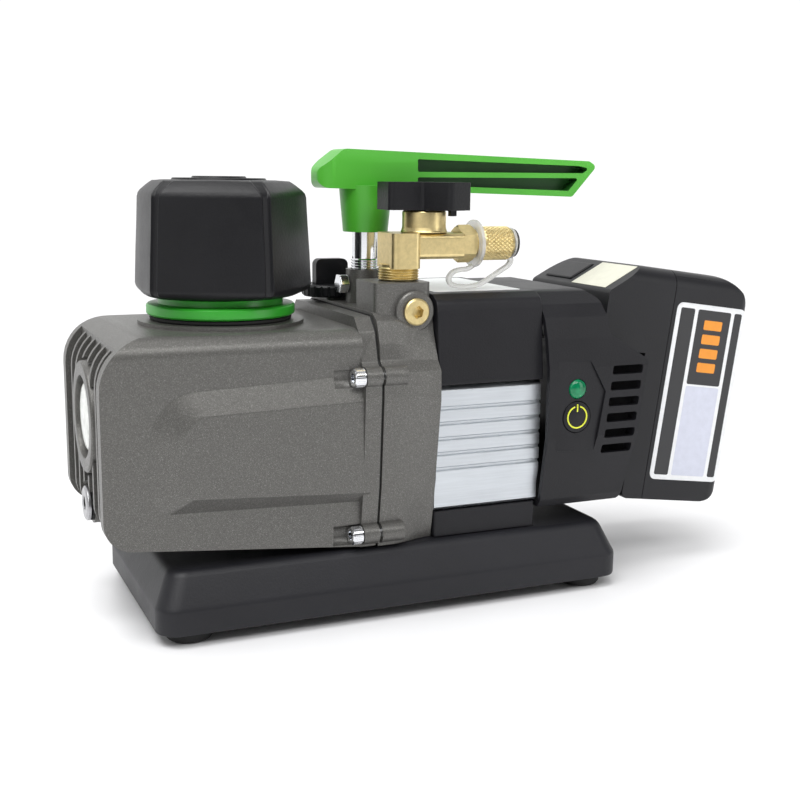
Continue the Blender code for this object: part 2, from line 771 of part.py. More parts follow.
def inlet_valve(build):
    thread = [
        (0.0, 145.0),
        (7.5, 145.0),
        (7.5, 153.3),
        (9.5, 153.3),
        (9.5, 160.5),
        (0.0, 160.5),
    ]
    body = build.part("inlet_valve_body", turned(thread, "Z", (VALVE_X, VALVE_Y, 0.0), 16), "brass")
    leg = prism(rectangle(-1.3, VALVE_Y - 11.0, 12.8, VALVE_Y + 11.0, 2.0, 2), "Z", 159.0, VALVE_TOP)
    build.combine(body, leg, "UNION")
    arm = rectangle(VALVE_Y - 9.6, 163.0, VALVE_Y + 9.6, VALVE_TOP - 0.2, 2.2, 2)
    build.combine(body, prism(arm, "X", 6.0, 35.0), "UNION")
    build.combine(body, cylinder(4.0, 140.0, VALVE_AXIS_Z, "Z", (VALVE_X, VALVE_Y, 0.0), 16))
    build.combine(body, cylinder(3.4, VALVE_X - 2.0, 40.0, "X", (0.0, VALVE_Y, VALVE_AXIS_Z), 16))
    build.combine(body, cylinder(5.2, 164.2, 180.0, "Z", (BONNET_X, VALVE_Y, 0.0), 16))
    build.combine(body, cylinder(5.0, 28.5, 40.0, "X", (0.0, VALVE_Y, VALVE_AXIS_Z), 16))
    bonnet = [
        (2.68, 175.3),
        (10.6, 175.3),
        (10.2, 176.6),
        (10.2, 184.4),
        (9.6, 185.0),
        (2.68, 185.0),
    ]
    centre = (BONNET_X, VALVE_Y, 0.0)
    build.part("valve_bonnet", turned(bonnet, "Z", centre, 16), "brass")
    pivot = (BONNET_X, VALVE_Y, VALVE_AXIS_Z)
    arc = [math.radians(angle) for angle in range(-90, 91, 30)]
    profile = [(4.8 * max(math.cos(a), 0.0), VALVE_AXIS_Z + 4.8 * math.sin(a)) for a in arc]
    ball = build.part("valve_ball", turned(profile, "Z", centre, 16), "steel", pivot)
    build.combine(ball, cylinder(2.4, 0.0, 40.0, "X", (0.0, VALVE_Y, VALVE_AXIS_Z), 16))
    slot = box((BONNET_X - 8.0, VALVE_Y - 1.1, 172.6), (BONNET_X + 8.0, VALVE_Y + 1.1, 180.0))
    build.combine(ball, slot)
    stem = build.part("valve_stem", cylinder(2.6, 174.6, 194.0, "Z", centre, 16), "steel", pivot)
    tang = box((BONNET_X - 2.0, VALVE_Y - 0.8, 172.9), (BONNET_X + 2.0, VALVE_Y + 0.8, 175.5))
    build.combine(stem, tang, "UNION")
    knob = build.part(
        "inlet_valve_knob", prism(lobes(), "Z", 185.4, 198.0), "black_plastic", (BONNET_X, VALVE_Y, 185.4)
    )
    tab = (BONNET_X + 10.8, VALVE_Y - 7.6)
    stop_tab = box((tab[0] - 1.5, tab[1] - 1.5, 182.6), (tab[0] + 1.5, tab[1] + 1.5, 190.0))
    build.combine(knob, stop_tab, "UNION")
    build.combine(knob, cylinder(2.9, 180.0, 194.3, "Z", centre, 16))


def lobes():
    """The valve knob from above: three broad flat-ended arms round its middle."""
    reach = 21.0
    half = 8.5
    hub = half / math.sin(math.radians(60))
    points = []
    radii = []
    for angle in (60, 180, 300):
        turn = Matrix.Rotation(math.radians(angle), 2)
        hub_turn = Matrix.Rotation(math.radians(angle + 60), 2)
        points.append(turn @ Vector((reach, -half)))
        points.append(turn @ Vector((reach, half)))
        points.append(hub_turn @ Vector((hub, 0.0)))
        radii += [2.6, 2.6, 2.0]
    centre = Vector((BONNET_X, VALVE_Y))
    return rounded([tuple(centre + point) for point in points], radii)


def flare(build):
    centre = (0.0, VALVE_Y, VALVE_AXIS_Z)
    fitting = [
        (3.0, 29.0),
        (4.7, 29.0),
        (4.7, 35.3),
        (7.6, 35.3),
        (7.6, 43.0),
        (6.7, 43.0),
        (6.7, 56.5),
        (4.6, 59.4),
        (3.0, 59.4),
    ]
    body = build.part("flare_fitting", turned(fitting, "X", centre, 16), "brass")
    nut = hexagon(15.4, (VALVE_Y, VALVE_AXIS_Z), math.pi / 2)
    build.combine(body, prism(nut, "X", 35.3, 43.0), "UNION")
    build.combine(body, cylinder(3.0, 20.0, 70.0, "X", centre, 16))
    cap = [
        (0.0, 66.6),
        (4.6, 66.4),
        (5.6, 65.2),
        (5.6, 63.3),
        (7.4, 63.3),
        (8.0, 62.6),
        (8.0, 47.8),
        (7.5, 47.0),
        (7.0, 47.0),
        (7.0, 60.9),
        (0.0, 60.9),
    ]
    build.part("flare_cap", turned(cap, "X", centre, FINE), "brass", centre)
    build.part("flare_cap_seal", ring(2.0, 4.4, 59.7, 60.6, "X", centre, 16), "black_rubber", centre)
    tether(build, centre)


def tether(build, centre):
    """A flexible strap between a ring behind the cap and a ring round its end."""
    path = [
        (44.6, -10.2),
        (41.5, -11.9),
        (38.0, -12.2),
        (34.2, -13.2),
        (31.8, -15.8),
        (32.6, -18.6),
        (36.5, -20.0),
        (42.5, -20.3),
        (48.5, -19.2),
        (54.0, -16.3),
        (59.2, -13.2),
        (62.9, -11.0),
        (64.6, -8.8),
        (64.4, -6.7),
    ]
    rings = []
    for index, (x, z) in enumerate(path):
        before = Vector(path[max(index - 1, 0)])
        after = Vector(path[min(index + 1, len(path) - 1)])
        along = (after - before).normalized()
        side = Vector((-along.y, along.x)) * 0.8
        height = centre[2] + z
        rings.append(
            [
                (x + side.x, centre[1] - 1.3, height + side.y),
                (x + side.x, centre[1] + 1.3, height + side.y),
                (x - side.x, centre[1] + 1.3, height - side.y),
                (x - side.x, centre[1] - 1.3, height - side.y),
            ]
        )
    strap = build.part("cap_tether", ring(7.1, 11.2, 43.6, 45.6, "X", centre, 16), "clear_strap")
    build.combine(strap, loft(rings), "UNION")
    build.combine(strap, ring(5.9, 7.2, 63.6, 64.8, "X", centre, 16), "UNION")


# ---- carrying handle --------------------------------------------------------------------------


def handle(build):
    centre = (POST_X, HANDLE_Y, 0.0)
    post = [
        (0.0, 143.4),
        (POST_THREAD_RADIUS, 143.4),
        (POST_THREAD_RADIUS, 161.0),
        (POST_RADIUS, 161.6),
        (POST_RADIUS, 199.0),
        (0.0, 199.0),
    ]
    build.part("handle_post", turned(post, "Z", centre, 16), "steel")
    outline = [
        (-23.2, 194.7),
        (49.0, 193.0),
        (113.0, 191.0),
        (127.0, 206.4),
        (123.0, 209.0),
        (-11.5, 213.0),
        (-24.2, 203.0),
    ]
    shape = rounded(outline, [4.0, 0.0, 2.0, 2.0, 2.0, 4.0, 4.0], 4)
    low = HANDLE_Y - GRIP_HALF_WIDTH
    high = HANDLE_Y + GRIP_HALF_WIDTH
    grip = build.part("carry_handle", prism(shape, "Y", low - 2.0, high + 2.0), "green_plastic")
    plan = rounded([(-24.4, low), (130.0, low), (130.0, high), (-24.4, high)], [8.5, 0.0, 0.0, 8.5], 6)
    build.combine(grip, prism(plan, "Z", 180.0, 220.0), "INTERSECT")
    end = [(low - 2.7, 194.7), (HANDLE_Y - 7.6, 214.0), (HANDLE_Y + 7.6, 214.0), (high + 2.7, 194.7)]
    end = [(low - 2.7, 185.0)] + end + [(high + 2.7, 185.0)]
    build.combine(grip, prism(end, "X", -40.0, 140.0), "INTERSECT")
    stem = turned([(0.0, 174.0), (10.9, 174.0), (12.9, 196.0), (0.0, 196.0)], "Z", centre, 16)
    build.combine(grip, stem, "UNION")
    build.combine(grip, cylinder(POST_RADIUS + 0.3, 170.0, 199.4, "Z", centre, 16))
    upper = [(26.0, 202.6), (119.0, 202.9), (122.6, 205.4), (116.0, 206.5), (26.0, 208.6)]
    lower = [(26.0, 196.4), (110.6, 194.0), (116.6, 200.4), (26.0, 200.0)]
    for slot in (upper, lower):
        for side in (-1.0, 1.0):
            slot_low = HANDLE_Y + min(side * 2.2, side * 14.0)
            slot_high = HANDLE_Y + max(side * 2.2, side * 14.0)
            build.combine(grip, prism(slot, "Y", slot_low, slot_high))


# ---- motor ------------------------------------------------------------------------------------


def casing_half():
    """Right half of the motor casing seen from its end, with cooling grooves down the side."""
    half = MOTOR_HALF_WIDTH
    points = [(half - 3.4, 45.4), (half - 1.5, 47.2), (half - 1.5, 55.1), (half, 61.8)]
    for number in range(5):
        low = 65.0 + number * 7.2
        points += [(half, low), (half - 1.1, low + 0.5), (half - 1.1, low + 1.5), (half, low + 2.0)]
    points += [(half, 103.2), (half - 2.4, 105.6)]
    return points


def motor_shell(build):
    extrusion = prism(mirrored(casing_half()), "X", MOTOR_LEFT, MOTOR_RIGHT)
    casing = build.part("motor_casing", extrusion, "aluminium")
    build.combine(casing, cylinder(26.8, 0.0, 90.0, "X", (0.0, 0.0, AXIS_Z), FINE))
    for side in (-1.0, 1.0):
        low = min(side * 29.5, side * 43.6)
        high = max(side * 29.5, side * 43.6)
        build.combine(casing, prism(rectangle(low, 50.0, high, 101.0, 3.0, 2), "X", 0.0, 90.0))
    outer = [(50.0, 106.0), (48.5, 119.4), (46.6, 140.0), (45.4, 144.4), (40.0, 147.5)]
    inner = [(47.2, 100.0), (46.0, 119.0), (43.8, 139.0), (39.0, 144.7)]
    cover = build.part("motor_top_cover", prism(mirrored(outer), "X", 17.6, MOTOR_RIGHT), "black_plastic")
    build.combine(cover, prism(mirrored(inner), "X", 20.2, 90.0))
    saddle = prism(rectangle(17.6, -46.5, 72.0, 46.5, 1.5, 2), "Z", 32.7, 45.1)
    saddle_part = build.part("motor_saddle", saddle, "black_plastic")
    build.combine(saddle_part, prism(rectangle(21.0, -43.0, 68.6, 43.0, 1.5, 2), "Z", 20.0, 41.6))


def motor_internals(build):
    axis = (0.0, 0.0, AXIS_Z)
    stator = [
        (11.3, 22.0),
        (26.5, 22.0),
        (26.5, 68.0),
        (11.3, 68.0),
        (11.3, 61.5),
        (16.0, 61.5),
        (16.0, 28.5),
        (11.3, 28.5),
    ]
    build.part("motor_stator", turned(stator, "X", axis, FINE), "copper")
    rotor = [
        (0.0, 5.3),
        (4.0, 5.3),
        (4.0, 29.5),
        (15.4, 29.5),
        (15.4, 60.5),
        (4.0, 60.5),
        (4.0, 90.0),
        (0.0, 90.0),
    ]
    build.part("motor_rotor", turned(rotor, "X", axis, 20), "steel", axis)
    build.part("front_bearing", ring(4.1, 11.0, 22.5, 28.2, "X", axis, 20), "steel")
    build.part("rear_bearing", ring(4.1, 11.0, 61.8, 67.5, "X", axis, 20), "steel")
    fan = build.part("cooling_fan", ring(4.3, 10.0, 76.4, 86.0, "X", axis, 16), "black_plastic", axis)
    build.combine(fan, prism(fan_outline(), "X", 78.0, 85.0), "UNION")
    build.combine(fan, cylinder(4.3, 70.0, 95.0, "X", axis, 16))
    board = build.part("control_board", box((24.0, -30.0, 111.0), (70.0, 30.0, 112.6)), "board")
    for x in (28.0, 66.0):
        for y in (-26.0, 26.0):
            build.combine(board, box((x - 2.0, y - 2.0, 106.0), (x + 2.0, y + 2.0, 111.8)), "UNION")
    for x in (34.0, 47.0, 60.0):
        build.combine(board, cylinder(4.0, 112.0, 124.0, "Z", (x, -14.0, 0.0), 12), "UNION")
    build.combine(board, box((32.0, 4.0, 112.0), (62.0, 20.0, 118.0)), "UNION")


def fan_outline():
    """Seen from its end: a disc with nine blades."""
    points = []
    for blade in range(9):
        start = 2 * math.pi * blade / 9
        for share, radius in ((0.0, 10.5), (0.08, 24.0), (0.24, 24.0), (0.42, 10.5)):
            angle = start + share * 2 * math.pi / 9
            points.append((radius * math.cos(angle), AXIS_Z + radius * math.sin(angle)))
    return points


# ---- rear housing -----------------------------------------------------------------------------


def rear_side(inset):
    return [
        (REAR_LEFT if inset == 0 else REAR_LEFT - 5.0, 42.3 + inset),
        (119.3 - inset, 42.3 + inset),
        (129.1 - inset, 113.5 - inset * 0.5),
        (108.3 - inset, 126.3 - inset),
        (107.3 - inset, 142.6 - inset),
        (101.0 - inset, 147.3 - inset),
        (REAR_LEFT if inset == 0 else REAR_LEFT - 5.0, 147.3 - inset),
    ]


def rear_end(inset):
    half = [
        (47.4, 42.0),
        (49.9, 46.3),
        (55.3, 77.4),
        (54.9, 111.2),
        (52.1, 125.1),
        (48.6, 135.2),
        (43.6, 140.9),
        (36.6, 146.4),
        (28.6, 149.0),
    ]
    return mirrored([(y - inset, z) for y, z in half])


def rear_housing(build):
    housing = build.part("rear_housing", prism(rear_side(0.0), "Y", -60.0, 60.0), "black_plastic")
    build.combine(housing, prism(rear_end(0.0), "X", 60.0, 140.0), "INTERSECT")
    hollow = prism(rear_side(REAR_WALL), "Y", -60.0, 60.0)
    trim = prism(rear_end(REAR_WALL), "X", 60.0, 140.0)
    core = build.mesh_object("helper_core", hollow, (0.0, 0.0, 0.0), None)
    core.hide_render = True
    core.display_type = "WIRE"
    build.combine(core, trim, "INTERSECT")
    cut = housing.modifiers.new("hollow", "BOOLEAN")
    cut.operation = "DIFFERENCE"
    cut.solver = "EXACT"
    cut.object = core
    panel = [(77.6, 71.3), (99.5, 69.2), (104.7, 99.0), (96.0, 114.2), (77.6, 115.1)]
    build.combine(housing, prism(rounded(panel, 1.5, 2), "Y", -60.0, -54.0))
    for side in (-1.0, 1.0):
        for number in range(6):
            low_x = 104.1 + number * 0.86
            low_z = 70.1 + number * 7.8
            slot = [
                (low_x - 0.3, low_z - 2.2),
                (low_x + 17.0, low_z - 2.2),
                (low_x + 17.6, low_z + 2.2),
                (low_x + 0.3, low_z + 2.2),
            ]
            low = min(side * 49.0, side * 60.0)
            high = max(side * 49.0, side * 60.0)
            build.combine(housing, prism(slot, "Y", low, high))
    build.combine(housing, cylinder(7.9, -60.0, -48.0, "Y", (BUTTON_X, 0.0, BUTTON_Z), 16))
    build.combine(housing, cylinder(4.9, -60.0, -48.0, "Y", (BUTTON_X, 0.0, LED_Z), 16))


def controls(build):
    button = [
        (0.0, -54.5),
        (7.0, -54.5),
        (7.6, -54.0),
        (7.6, -52.0),
        (8.2, -52.0),
        (8.2, -51.0),
        (0.0, -51.0),
    ]
    centre = (BUTTON_X, 0.0, BUTTON_Z)
    pivot = (BUTTON_X, -54.0, BUTTON_Z)
    build.part("power_button", turned(button, "Y", centre, 16), "black_plastic", pivot)
    lamp = [
        (0.0, -55.9),
        (2.4, -55.6),
        (4.0, -54.8),
        (4.6, -54.0),
        (4.6, -52.0),
        (5.2, -52.0),
        (5.2, -51.0),
        (0.0, -51.0),
    ]
    build.part("led_lens", turned(lamp, "Y", (BUTTON_X, 0.0, LED_Z), 16), "led")
    plate = box((BUTTON_X - 8.6, -47.4, 68.0), (BUTTON_X + 8.6, -45.8, 108.0))
    board = build.part("switch_board", plate, "board")
    build.combine(board, cylinder(8.5, -49.4, -46.6, "Y", centre, 16), "UNION")
    build.combine(board, cylinder(2.5, -50.6, -46.6, "Y", (BUTTON_X, 0.0, LED_Z), 12), "UNION")


# ---- battery ----------------------------------------------------------------------------------

SLOPE_ALONG = (0.8144, 0.5806)
SLOPE_OUT = (-0.5806, 0.8144)
SLOPE_MIDDLE = (-7.3, 111.8)


def slope_box(half_along, low, high):
    """A rectangle on the nose's sloping face, by its half length and its heights off the face."""
    points = []
    for along, out in ((-half_along, low), (half_along, low), (half_along, high), (-half_along, high)):
        x = SLOPE_MIDDLE[0] + SLOPE_ALONG[0] * along + SLOPE_OUT[0] * out
        z = SLOPE_MIDDLE[1] + SLOPE_ALONG[1] * along + SLOPE_OUT[1] * out
        points.append((x, z))
    return points


def battery(build):
    build.empty("battery_frame", BATTERY_ORIGIN, BATTERY_TILT)
    frame = "battery_frame"
    block = build.part(
        "battery_terminal_block", box((0.4, -15.0, 44.0), (13.2, 15.0, 88.0)), "black_plastic", parent=frame
    )
    build.combine(block, box((12.8, -20.0, 44.0), (17.0, 20.0, 88.0)), "UNION", frame)
    for y in (-9.0, -3.0, 3.0, 9.0):
        build.combine(block, box((15.0, y - 0.6, 54.0), (20.0, y + 0.6, 95.0)), "DIFFERENCE", frame)
    profile = [
        (SHELL_FRONT, 0.0),
        (SHELL_BACK, 0.0),
        (SHELL_BACK, PACK_HEIGHT),
        (2.8, PACK_HEIGHT),
        (-17.4, 104.6),
        (-17.4, 83.2),
        (0.0, 75.6),
        (SHELL_FRONT, 75.6),
    ]
    outline = rounded(profile, [3.0, 0.0, 0.0, 3.0, 2.0, 2.0, 0.0, 0.0], 3)
    half = BATTERY_HALF_WIDTH
    shell = build.part("battery_shell", prism(outline, "Y", -half, half), "black_plastic", parent=frame)
    build.combine(shell, box((0.0, -15.6, -5.0), (12.7, 15.6, 92.0)), "DIFFERENCE", frame)
    build.combine(shell, box((12.4, -20.6, -5.0), (17.4, 20.6, 92.0)), "DIFFERENCE", frame)
    build.combine(shell, box((5.0, -20.8, -8.0), (14.0, 20.8, 43.0)), "DIFFERENCE", frame)
    pocket = prism(slope_box(8.0, -6.2, 5.0), "Y", 5.0, 31.0)
    build.combine(shell, pocket, "DIFFERENCE", frame)
    pad = (SLOPE_MIDDLE[0], 18.0, SLOPE_MIDDLE[1])
    button = prism(slope_box(7.7, -3.2, 0.9), "Y", 5.3, 30.7)
    build.part("battery_latch_button", button, "black_plastic", pad, frame)
    side = rounded(
        [(22.3, 0.0), (PACK_BACK, 0.0), (PACK_BACK, PACK_HEIGHT), (22.3, PACK_HEIGHT)],
        [0.0, 14.0, 30.0, 0.0],
        6,
    )
    cover = build.part("battery_cover", prism(side, "Y", -half, half), "black_plastic", parent=frame)
    plan = rounded(
        [(10.0, -half), (PACK_BACK, -half), (PACK_BACK, half), (10.0, half)], [0.0, 9.0, 9.0, 0.0], 4
    )
    build.combine(cover, prism(plan, "Z", -20.0, 140.0), "INTERSECT", frame)
    inside = PACK_BACK - 2.6
    room = rounded([(15.0, 2.6), (inside, 2.6), (inside, 116.4), (15.0, 116.4)], [0.0, 11.0, 27.0, 0.0], 4)
    build.combine(cover, prism(room, "Y", -half + 2.6, half - 2.6), "DIFFERENCE", frame)
    cells = None
    for column in (33.0, 51.4):
        for row in range(5):
            solid = cylinder(9.4, -33.0, 33.0, "Y", (column, 0.0, 19.5 + row * 18.4), 12)
            if cells is None:
                cells = build.part("battery_cell_pack", solid, "cell_blue", parent=frame)
            else:
                build.combine(cells, solid, "UNION", frame)


def main():
    clear_scene()
    build = Assembly()
    base_tray(build)
    feet(build)
    oil_tank(build)
    tank_gasket(build)
    sight_glass(build)
    drain(build)
    filler(build)
    exhaust_cap(build)
    pump_housing(build)
    flange_screws(build)
    housing_fittings(build)
    pump_internals(build)
    inlet_valve(build)
    flare(build)
    handle(build)
    motor_shell(build)
    motor_internals(build)
    rear_housing(build)
    controls(build)
    battery(build)


main()
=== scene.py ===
import math

import bmesh
import bpy
from mathutils import Matrix, Vector


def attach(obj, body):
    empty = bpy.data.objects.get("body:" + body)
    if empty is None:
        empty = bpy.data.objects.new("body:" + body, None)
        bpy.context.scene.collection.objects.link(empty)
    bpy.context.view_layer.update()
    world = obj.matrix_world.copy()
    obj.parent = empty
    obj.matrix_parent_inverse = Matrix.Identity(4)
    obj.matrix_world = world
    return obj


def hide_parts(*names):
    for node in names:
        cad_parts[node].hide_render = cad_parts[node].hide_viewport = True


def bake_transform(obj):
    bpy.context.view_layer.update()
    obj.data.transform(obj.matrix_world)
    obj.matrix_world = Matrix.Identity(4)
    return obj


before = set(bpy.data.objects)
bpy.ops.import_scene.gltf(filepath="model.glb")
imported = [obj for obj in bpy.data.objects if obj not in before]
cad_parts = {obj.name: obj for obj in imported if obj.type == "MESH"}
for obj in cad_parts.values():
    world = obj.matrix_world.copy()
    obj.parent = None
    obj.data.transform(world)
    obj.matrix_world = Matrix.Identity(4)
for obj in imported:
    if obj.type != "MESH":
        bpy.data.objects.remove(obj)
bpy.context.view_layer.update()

# Lengths are in millimetres in the pump's own frame. CENTRE_X is the object's middle along x there.
MM = 0.001
CENTRE_X = 33.64

ROUND = 96
ARC = 10
ON_AXIS = 1e-6
AXIS_Z = 75.5
FILLER_X = -71.2
TANK_LEFT = -136.3
TANK_WALL_X = -128.0
TANK_TOP = 133.5
TANK_HALF = 49.0
PANEL_RISE = 4.6
LUG_RADIUS = 4.7
HOLE_RADIUS = 2.8
FLANGE_LEFT = -21.0
FLANGE_RIGHT = -13.3
SIGHT_Z = 93.0
BEZEL_LEFT = -136.0
DRAIN_Z = 53.0
VALVE_X = 5.8
VALVE_Y = -28.3
VALVE_Z = 169.5
BONNET_X = 18.5
POST_X = 2.6
HANDLE_Y = 5.0
KNOB_X = -7.0
KNOB_Y = 28.0
PORT_X = 7.5
PORT_Z = 140.0
BUTTON_X = 89.3
BUTTON_Z = 87.2
LED_Z = 100.9
SYMBOL_GAP = 16.0
UPPER_SCREW = (52.6, 112.6)
LOWER_SCREW = (50.4, 39.6)
BATTERY_ORIGIN = Vector((119.0, 0.0, 40.0))
BATTERY_TILT = math.radians(7.8)

CUT = "DIFFERENCE"
ADD = "UNION"
KEEP = "INTERSECT"

MAIN = "pump_frame"
PACK = "battery_pack"


# ---- outlines and solids ----------------------------------------------------------------------


def rounded(points, radii, steps=ARC):
    """The polygon with each corner replaced by an arc of its radius."""
    count = len(points)
    if not hasattr(radii, "__len__"):
        radii = [radii] * count
    outline = []
    for index in range(count):
        here = Vector(points[index])
        before = Vector(points[index - 1]) - here
        after = Vector(points[(index + 1) % count]) - here
        radius = radii[index]
        if radius <= 0:
            outline.append(tuple(here))
            continue
        half = before.angle(after) / 2
        reach = min(radius / math.tan(half), before.length * 0.49, after.length * 0.49)
        radius = reach * math.tan(half)
        middle = (before.normalized() + after.normalized()).normalized()
        centre = here + middle * (radius / math.sin(half))
        first = here + before.normalized() * reach - centre
        last = here + after.normalized() * reach - centre
        turn = first.angle_signed(last)
        for step in range(steps + 1):
            angle = -turn * step / steps
            cosine = math.cos(angle)
            sine = math.sin(angle)
            x = first.x * cosine - first.y * sine
            y = first.x * sine + first.y * cosine
            outline.append((centre.x + x, centre.y + y))
    return outline


def rectangle(low_x, low_y, high_x, high_y, radius=0.0, steps=ARC):
    """A rectangle with one corner radius, or one for each corner from the low one round."""
    corners = [(low_x, low_y), (high_x, low_y), (high_x, high_y), (low_x, high_y)]
    return rounded(corners, radius, steps)


def mirrored(half):
    return list(half) + [(-a, b) for a, b in reversed(half)]


def rounded_open(half, radius):
    """A half outline with its inner corners rounded and its two ends left sharp."""
    radii = [0.0] + [radius] * (len(half) - 2) + [radius]
    closed = rounded(half + [(0.0, half[-1][1]), (0.0, half[0][1])], radii + [0.0, 0.0], 4)
    return closed[:-2]


def arc_angles(start, end, steps):
    return [math.radians(start + (end - start) * step / steps) for step in range(steps + 1)]


def both_sides(near, far):
    """The spans from near to far on either side of the middle, each with its low end first."""
    return (-far, -near), (near, far)


def thread(start, pitch, turns, ridge):
    """A thread's outline: its ridge, as points of (radius, rise), once for each turn."""
    points = []
    for turn in range(turns):
        points += [(radius, start + turn * pitch + rise) for radius, rise in ridge]
    return points


def circle(radius, steps=ROUND, centre=(0.0, 0.0), start=0.0):
    points = []
    for step in range(steps):
        angle = start + 2 * math.pi * step / steps
        points.append((centre[0] + radius * math.cos(angle), centre[1] + radius * math.sin(angle)))
    return points


def hexagon(across_flats, centre=(0.0, 0.0), start=0.0):
    return circle(across_flats / 2 / math.cos(math.pi / 6), 6, centre, start)


def facing_out(solid):
    bmesh.ops.recalc_face_normals(solid, faces=solid.faces)
    if solid.calc_volume(signed=True) < 0:
        bmesh.ops.reverse_faces(solid, faces=solid.faces)
    return solid


def join_rows(solid, lower, upper, steps):
    """Adds the faces between two rows of vertices. A row of one vertex is a pole."""
    for index in range(steps):
        following = (index + 1) % steps
        if len(lower) == 1:
            solid.faces.new((lower[0], upper[following], upper[index]))
        elif len(upper) == 1:
            solid.faces.new((lower[index], lower[following], upper[0]))
        else:
            solid.faces.new((lower[index], lower[following], upper[following], upper[index]))


def loft(rings):
    """A solid through rings of points, with both ends closed."""
    solid = bmesh.new()
    rows = [[solid.verts.new(point) for point in ring] for ring in rings]
    for lower, upper in zip(rows, rows[1:]):
        join_rows(solid, lower, upper, len(lower))
    solid.faces.new(list(reversed(rows[0])))
    solid.faces.new(rows[-1])
    return facing_out(solid)


def prism(outline, axis, low, high):
    """The outline swept along an axis. Its points are (y, z), (x, z) or (x, y)."""
    rings = []
    for level in (low, high):
        if axis == "X":
            rings.append([(level, a, b) for a, b in outline])
        elif axis == "Y":
            rings.append([(a, level, b) for a, b in outline])
        else:
            rings.append([(a, b, level) for a, b in outline])
    return loft(rings)


def box(low, high):
    return prism(rectangle(low[0], low[1], high[0], high[1]), "Z", low[2], high[2])


def turned(profile, axis="Z", centre=(0.0, 0.0, 0.0), steps=ROUND, start=0.0):
    """A closed profile of (radius, height) turned round an axis. Radius 0 makes a pole."""
    solid = bmesh.new()
    rows = []
    for radius, height in profile:
        if radius < ON_AXIS:
            rows.append([solid.verts.new((0.0, 0.0, height))])
            continue
        rows.append([solid.verts.new((x, y, height)) for x, y in circle(radius, steps, start=start)])
    for row in range(len(rows)):
        lower = rows[row]
        upper = rows[(row + 1) % len(rows)]
        if len(lower) > 1 or len(upper) > 1:
            join_rows(solid, lower, upper, steps)
    turn = Matrix.Identity(4)
    if axis == "X":
        turn = Matrix.Rotation(math.radians(90), 4, "Y")
    elif axis == "Y":
        turn = Matrix.Rotation(math.radians(-90), 4, "X")
    bmesh.ops.transform(solid, matrix=Matrix.Translation(centre) @ turn, verts=solid.verts)
    return facing_out(solid)


def cylinder(radius, low, high, axis="Z", centre=(0.0, 0.0, 0.0), steps=ROUND):
    """A plain cylinder. Each radius starts at its own angle, so that no two have edges in line."""
    profile = [(0.0, low), (radius, low), (radius, high), (0.0, high)]
    return turned(profile, axis, centre, steps, 0.11 * radius)


def ring(inner, outer, low, high, axis="Z", centre=(0.0, 0.0, 0.0), steps=ROUND):
    return turned([(inner, low), (outer, low), (outer, high), (inner, high)], axis, centre, steps)


def soft_profile(profile, radius=0.5, steps=3):
    """A turned profile with its corners rounded, apart from those on the axis."""
    radii = [0.0 if r < ON_AXIS else radius for r, _ in profile]
    return rounded(profile, radii, steps)


def as_object(name, solid):
    mesh = bpy.data.meshes.new(name)
    solid.to_mesh(mesh)
    solid.free()
    obj = bpy.data.objects.new(name, mesh)
    bpy.context.scene.collection.objects.link(obj)
    return obj


def evaluated(obj):
    """The object's mesh with its modifiers applied, as a bmesh."""
    bpy.context.view_layer.update()
    shown = obj.evaluated_get(bpy.context.evaluated_depsgraph_get())
    solid = bmesh.new()
    solid.from_mesh(shown.data)
    return solid


def combined(base, steps):
    """The base solid after a list of (operation, solid) steps."""
    obj = as_object("combined", base)
    helpers = []
    for number, (operation, solid) in enumerate(steps):
        helper = as_object("helper_%d" % number, solid)
        helpers.append(helper)
        modifier = obj.modifiers.new("step", "BOOLEAN")
        modifier.operation = operation
        modifier.solver = "EXACT"
        modifier.object = helper
    result = evaluated(obj)
    for thing in helpers + [obj]:
        bpy.data.objects.remove(thing, do_unlink=True)
    bmesh.ops.remove_doubles(result, verts=result.verts, dist=0.002)
    flat = math.radians(0.6)
    bmesh.ops.dissolve_limit(result, angle_limit=flat, verts=result.verts, edges=result.edges)
    return result


def piece(name, solid, material, body, nodes=(), bevel=0.5, segments=3, limit=28.0, tilt=False):
    """A finished piece: bevelled, shaded smooth, riding on its body in place of its CAD nodes.

    A piece with no body is left unattached for its caller. A piece that replaces CAD nodes hides them.
    """
    obj = as_object(name, solid)
    if tilt:
        place = Matrix.Translation(BATTERY_ORIGIN) @ Matrix.Rotation(BATTERY_TILT, 4, "Y")
        obj.data.transform(place)
    obj.data.transform(Matrix.Scale(MM, 4) @ Matrix.Translation((-CENTRE_X, 0.0, 0.0)))
    if bevel > 0:
        modifier = obj.modifiers.new("edges", "BEVEL")
        modifier.width = bevel * MM
        modifier.segments = segments
        modifier.limit_method = "ANGLE"
        modifier.angle_limit = math.radians(limit)
        modifier.harden_normals = True
        modifier.use_clamp_overlap = True
        solid = evaluated(obj)
        obj.modifiers.clear()
        solid.to_mesh(obj.data)
        solid.free()
    obj.data.shade_smooth()
    if bevel > 0:
        weighted = obj.modifiers.new("normals", "WEIGHTED_NORMAL")
        weighted.keep_sharp = False
        weighted.weight = 80
    else:
        obj.data.set_sharp_from_angle(angle=math.radians(35))
    obj.data.materials.clear()
    obj.data.materials.append(MAT[material])
    if body:
        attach(obj, body)
    if nodes:
        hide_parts(*nodes)
    return obj


# ---- materials --------------------------------------------------------------------------------


def set_inputs(node, **values):
    """Sets a node's inputs. An underscore stands for the space in an input's name."""
    for name, value in values.items():
        node.inputs[name.replace("_", " ")].default_value = value


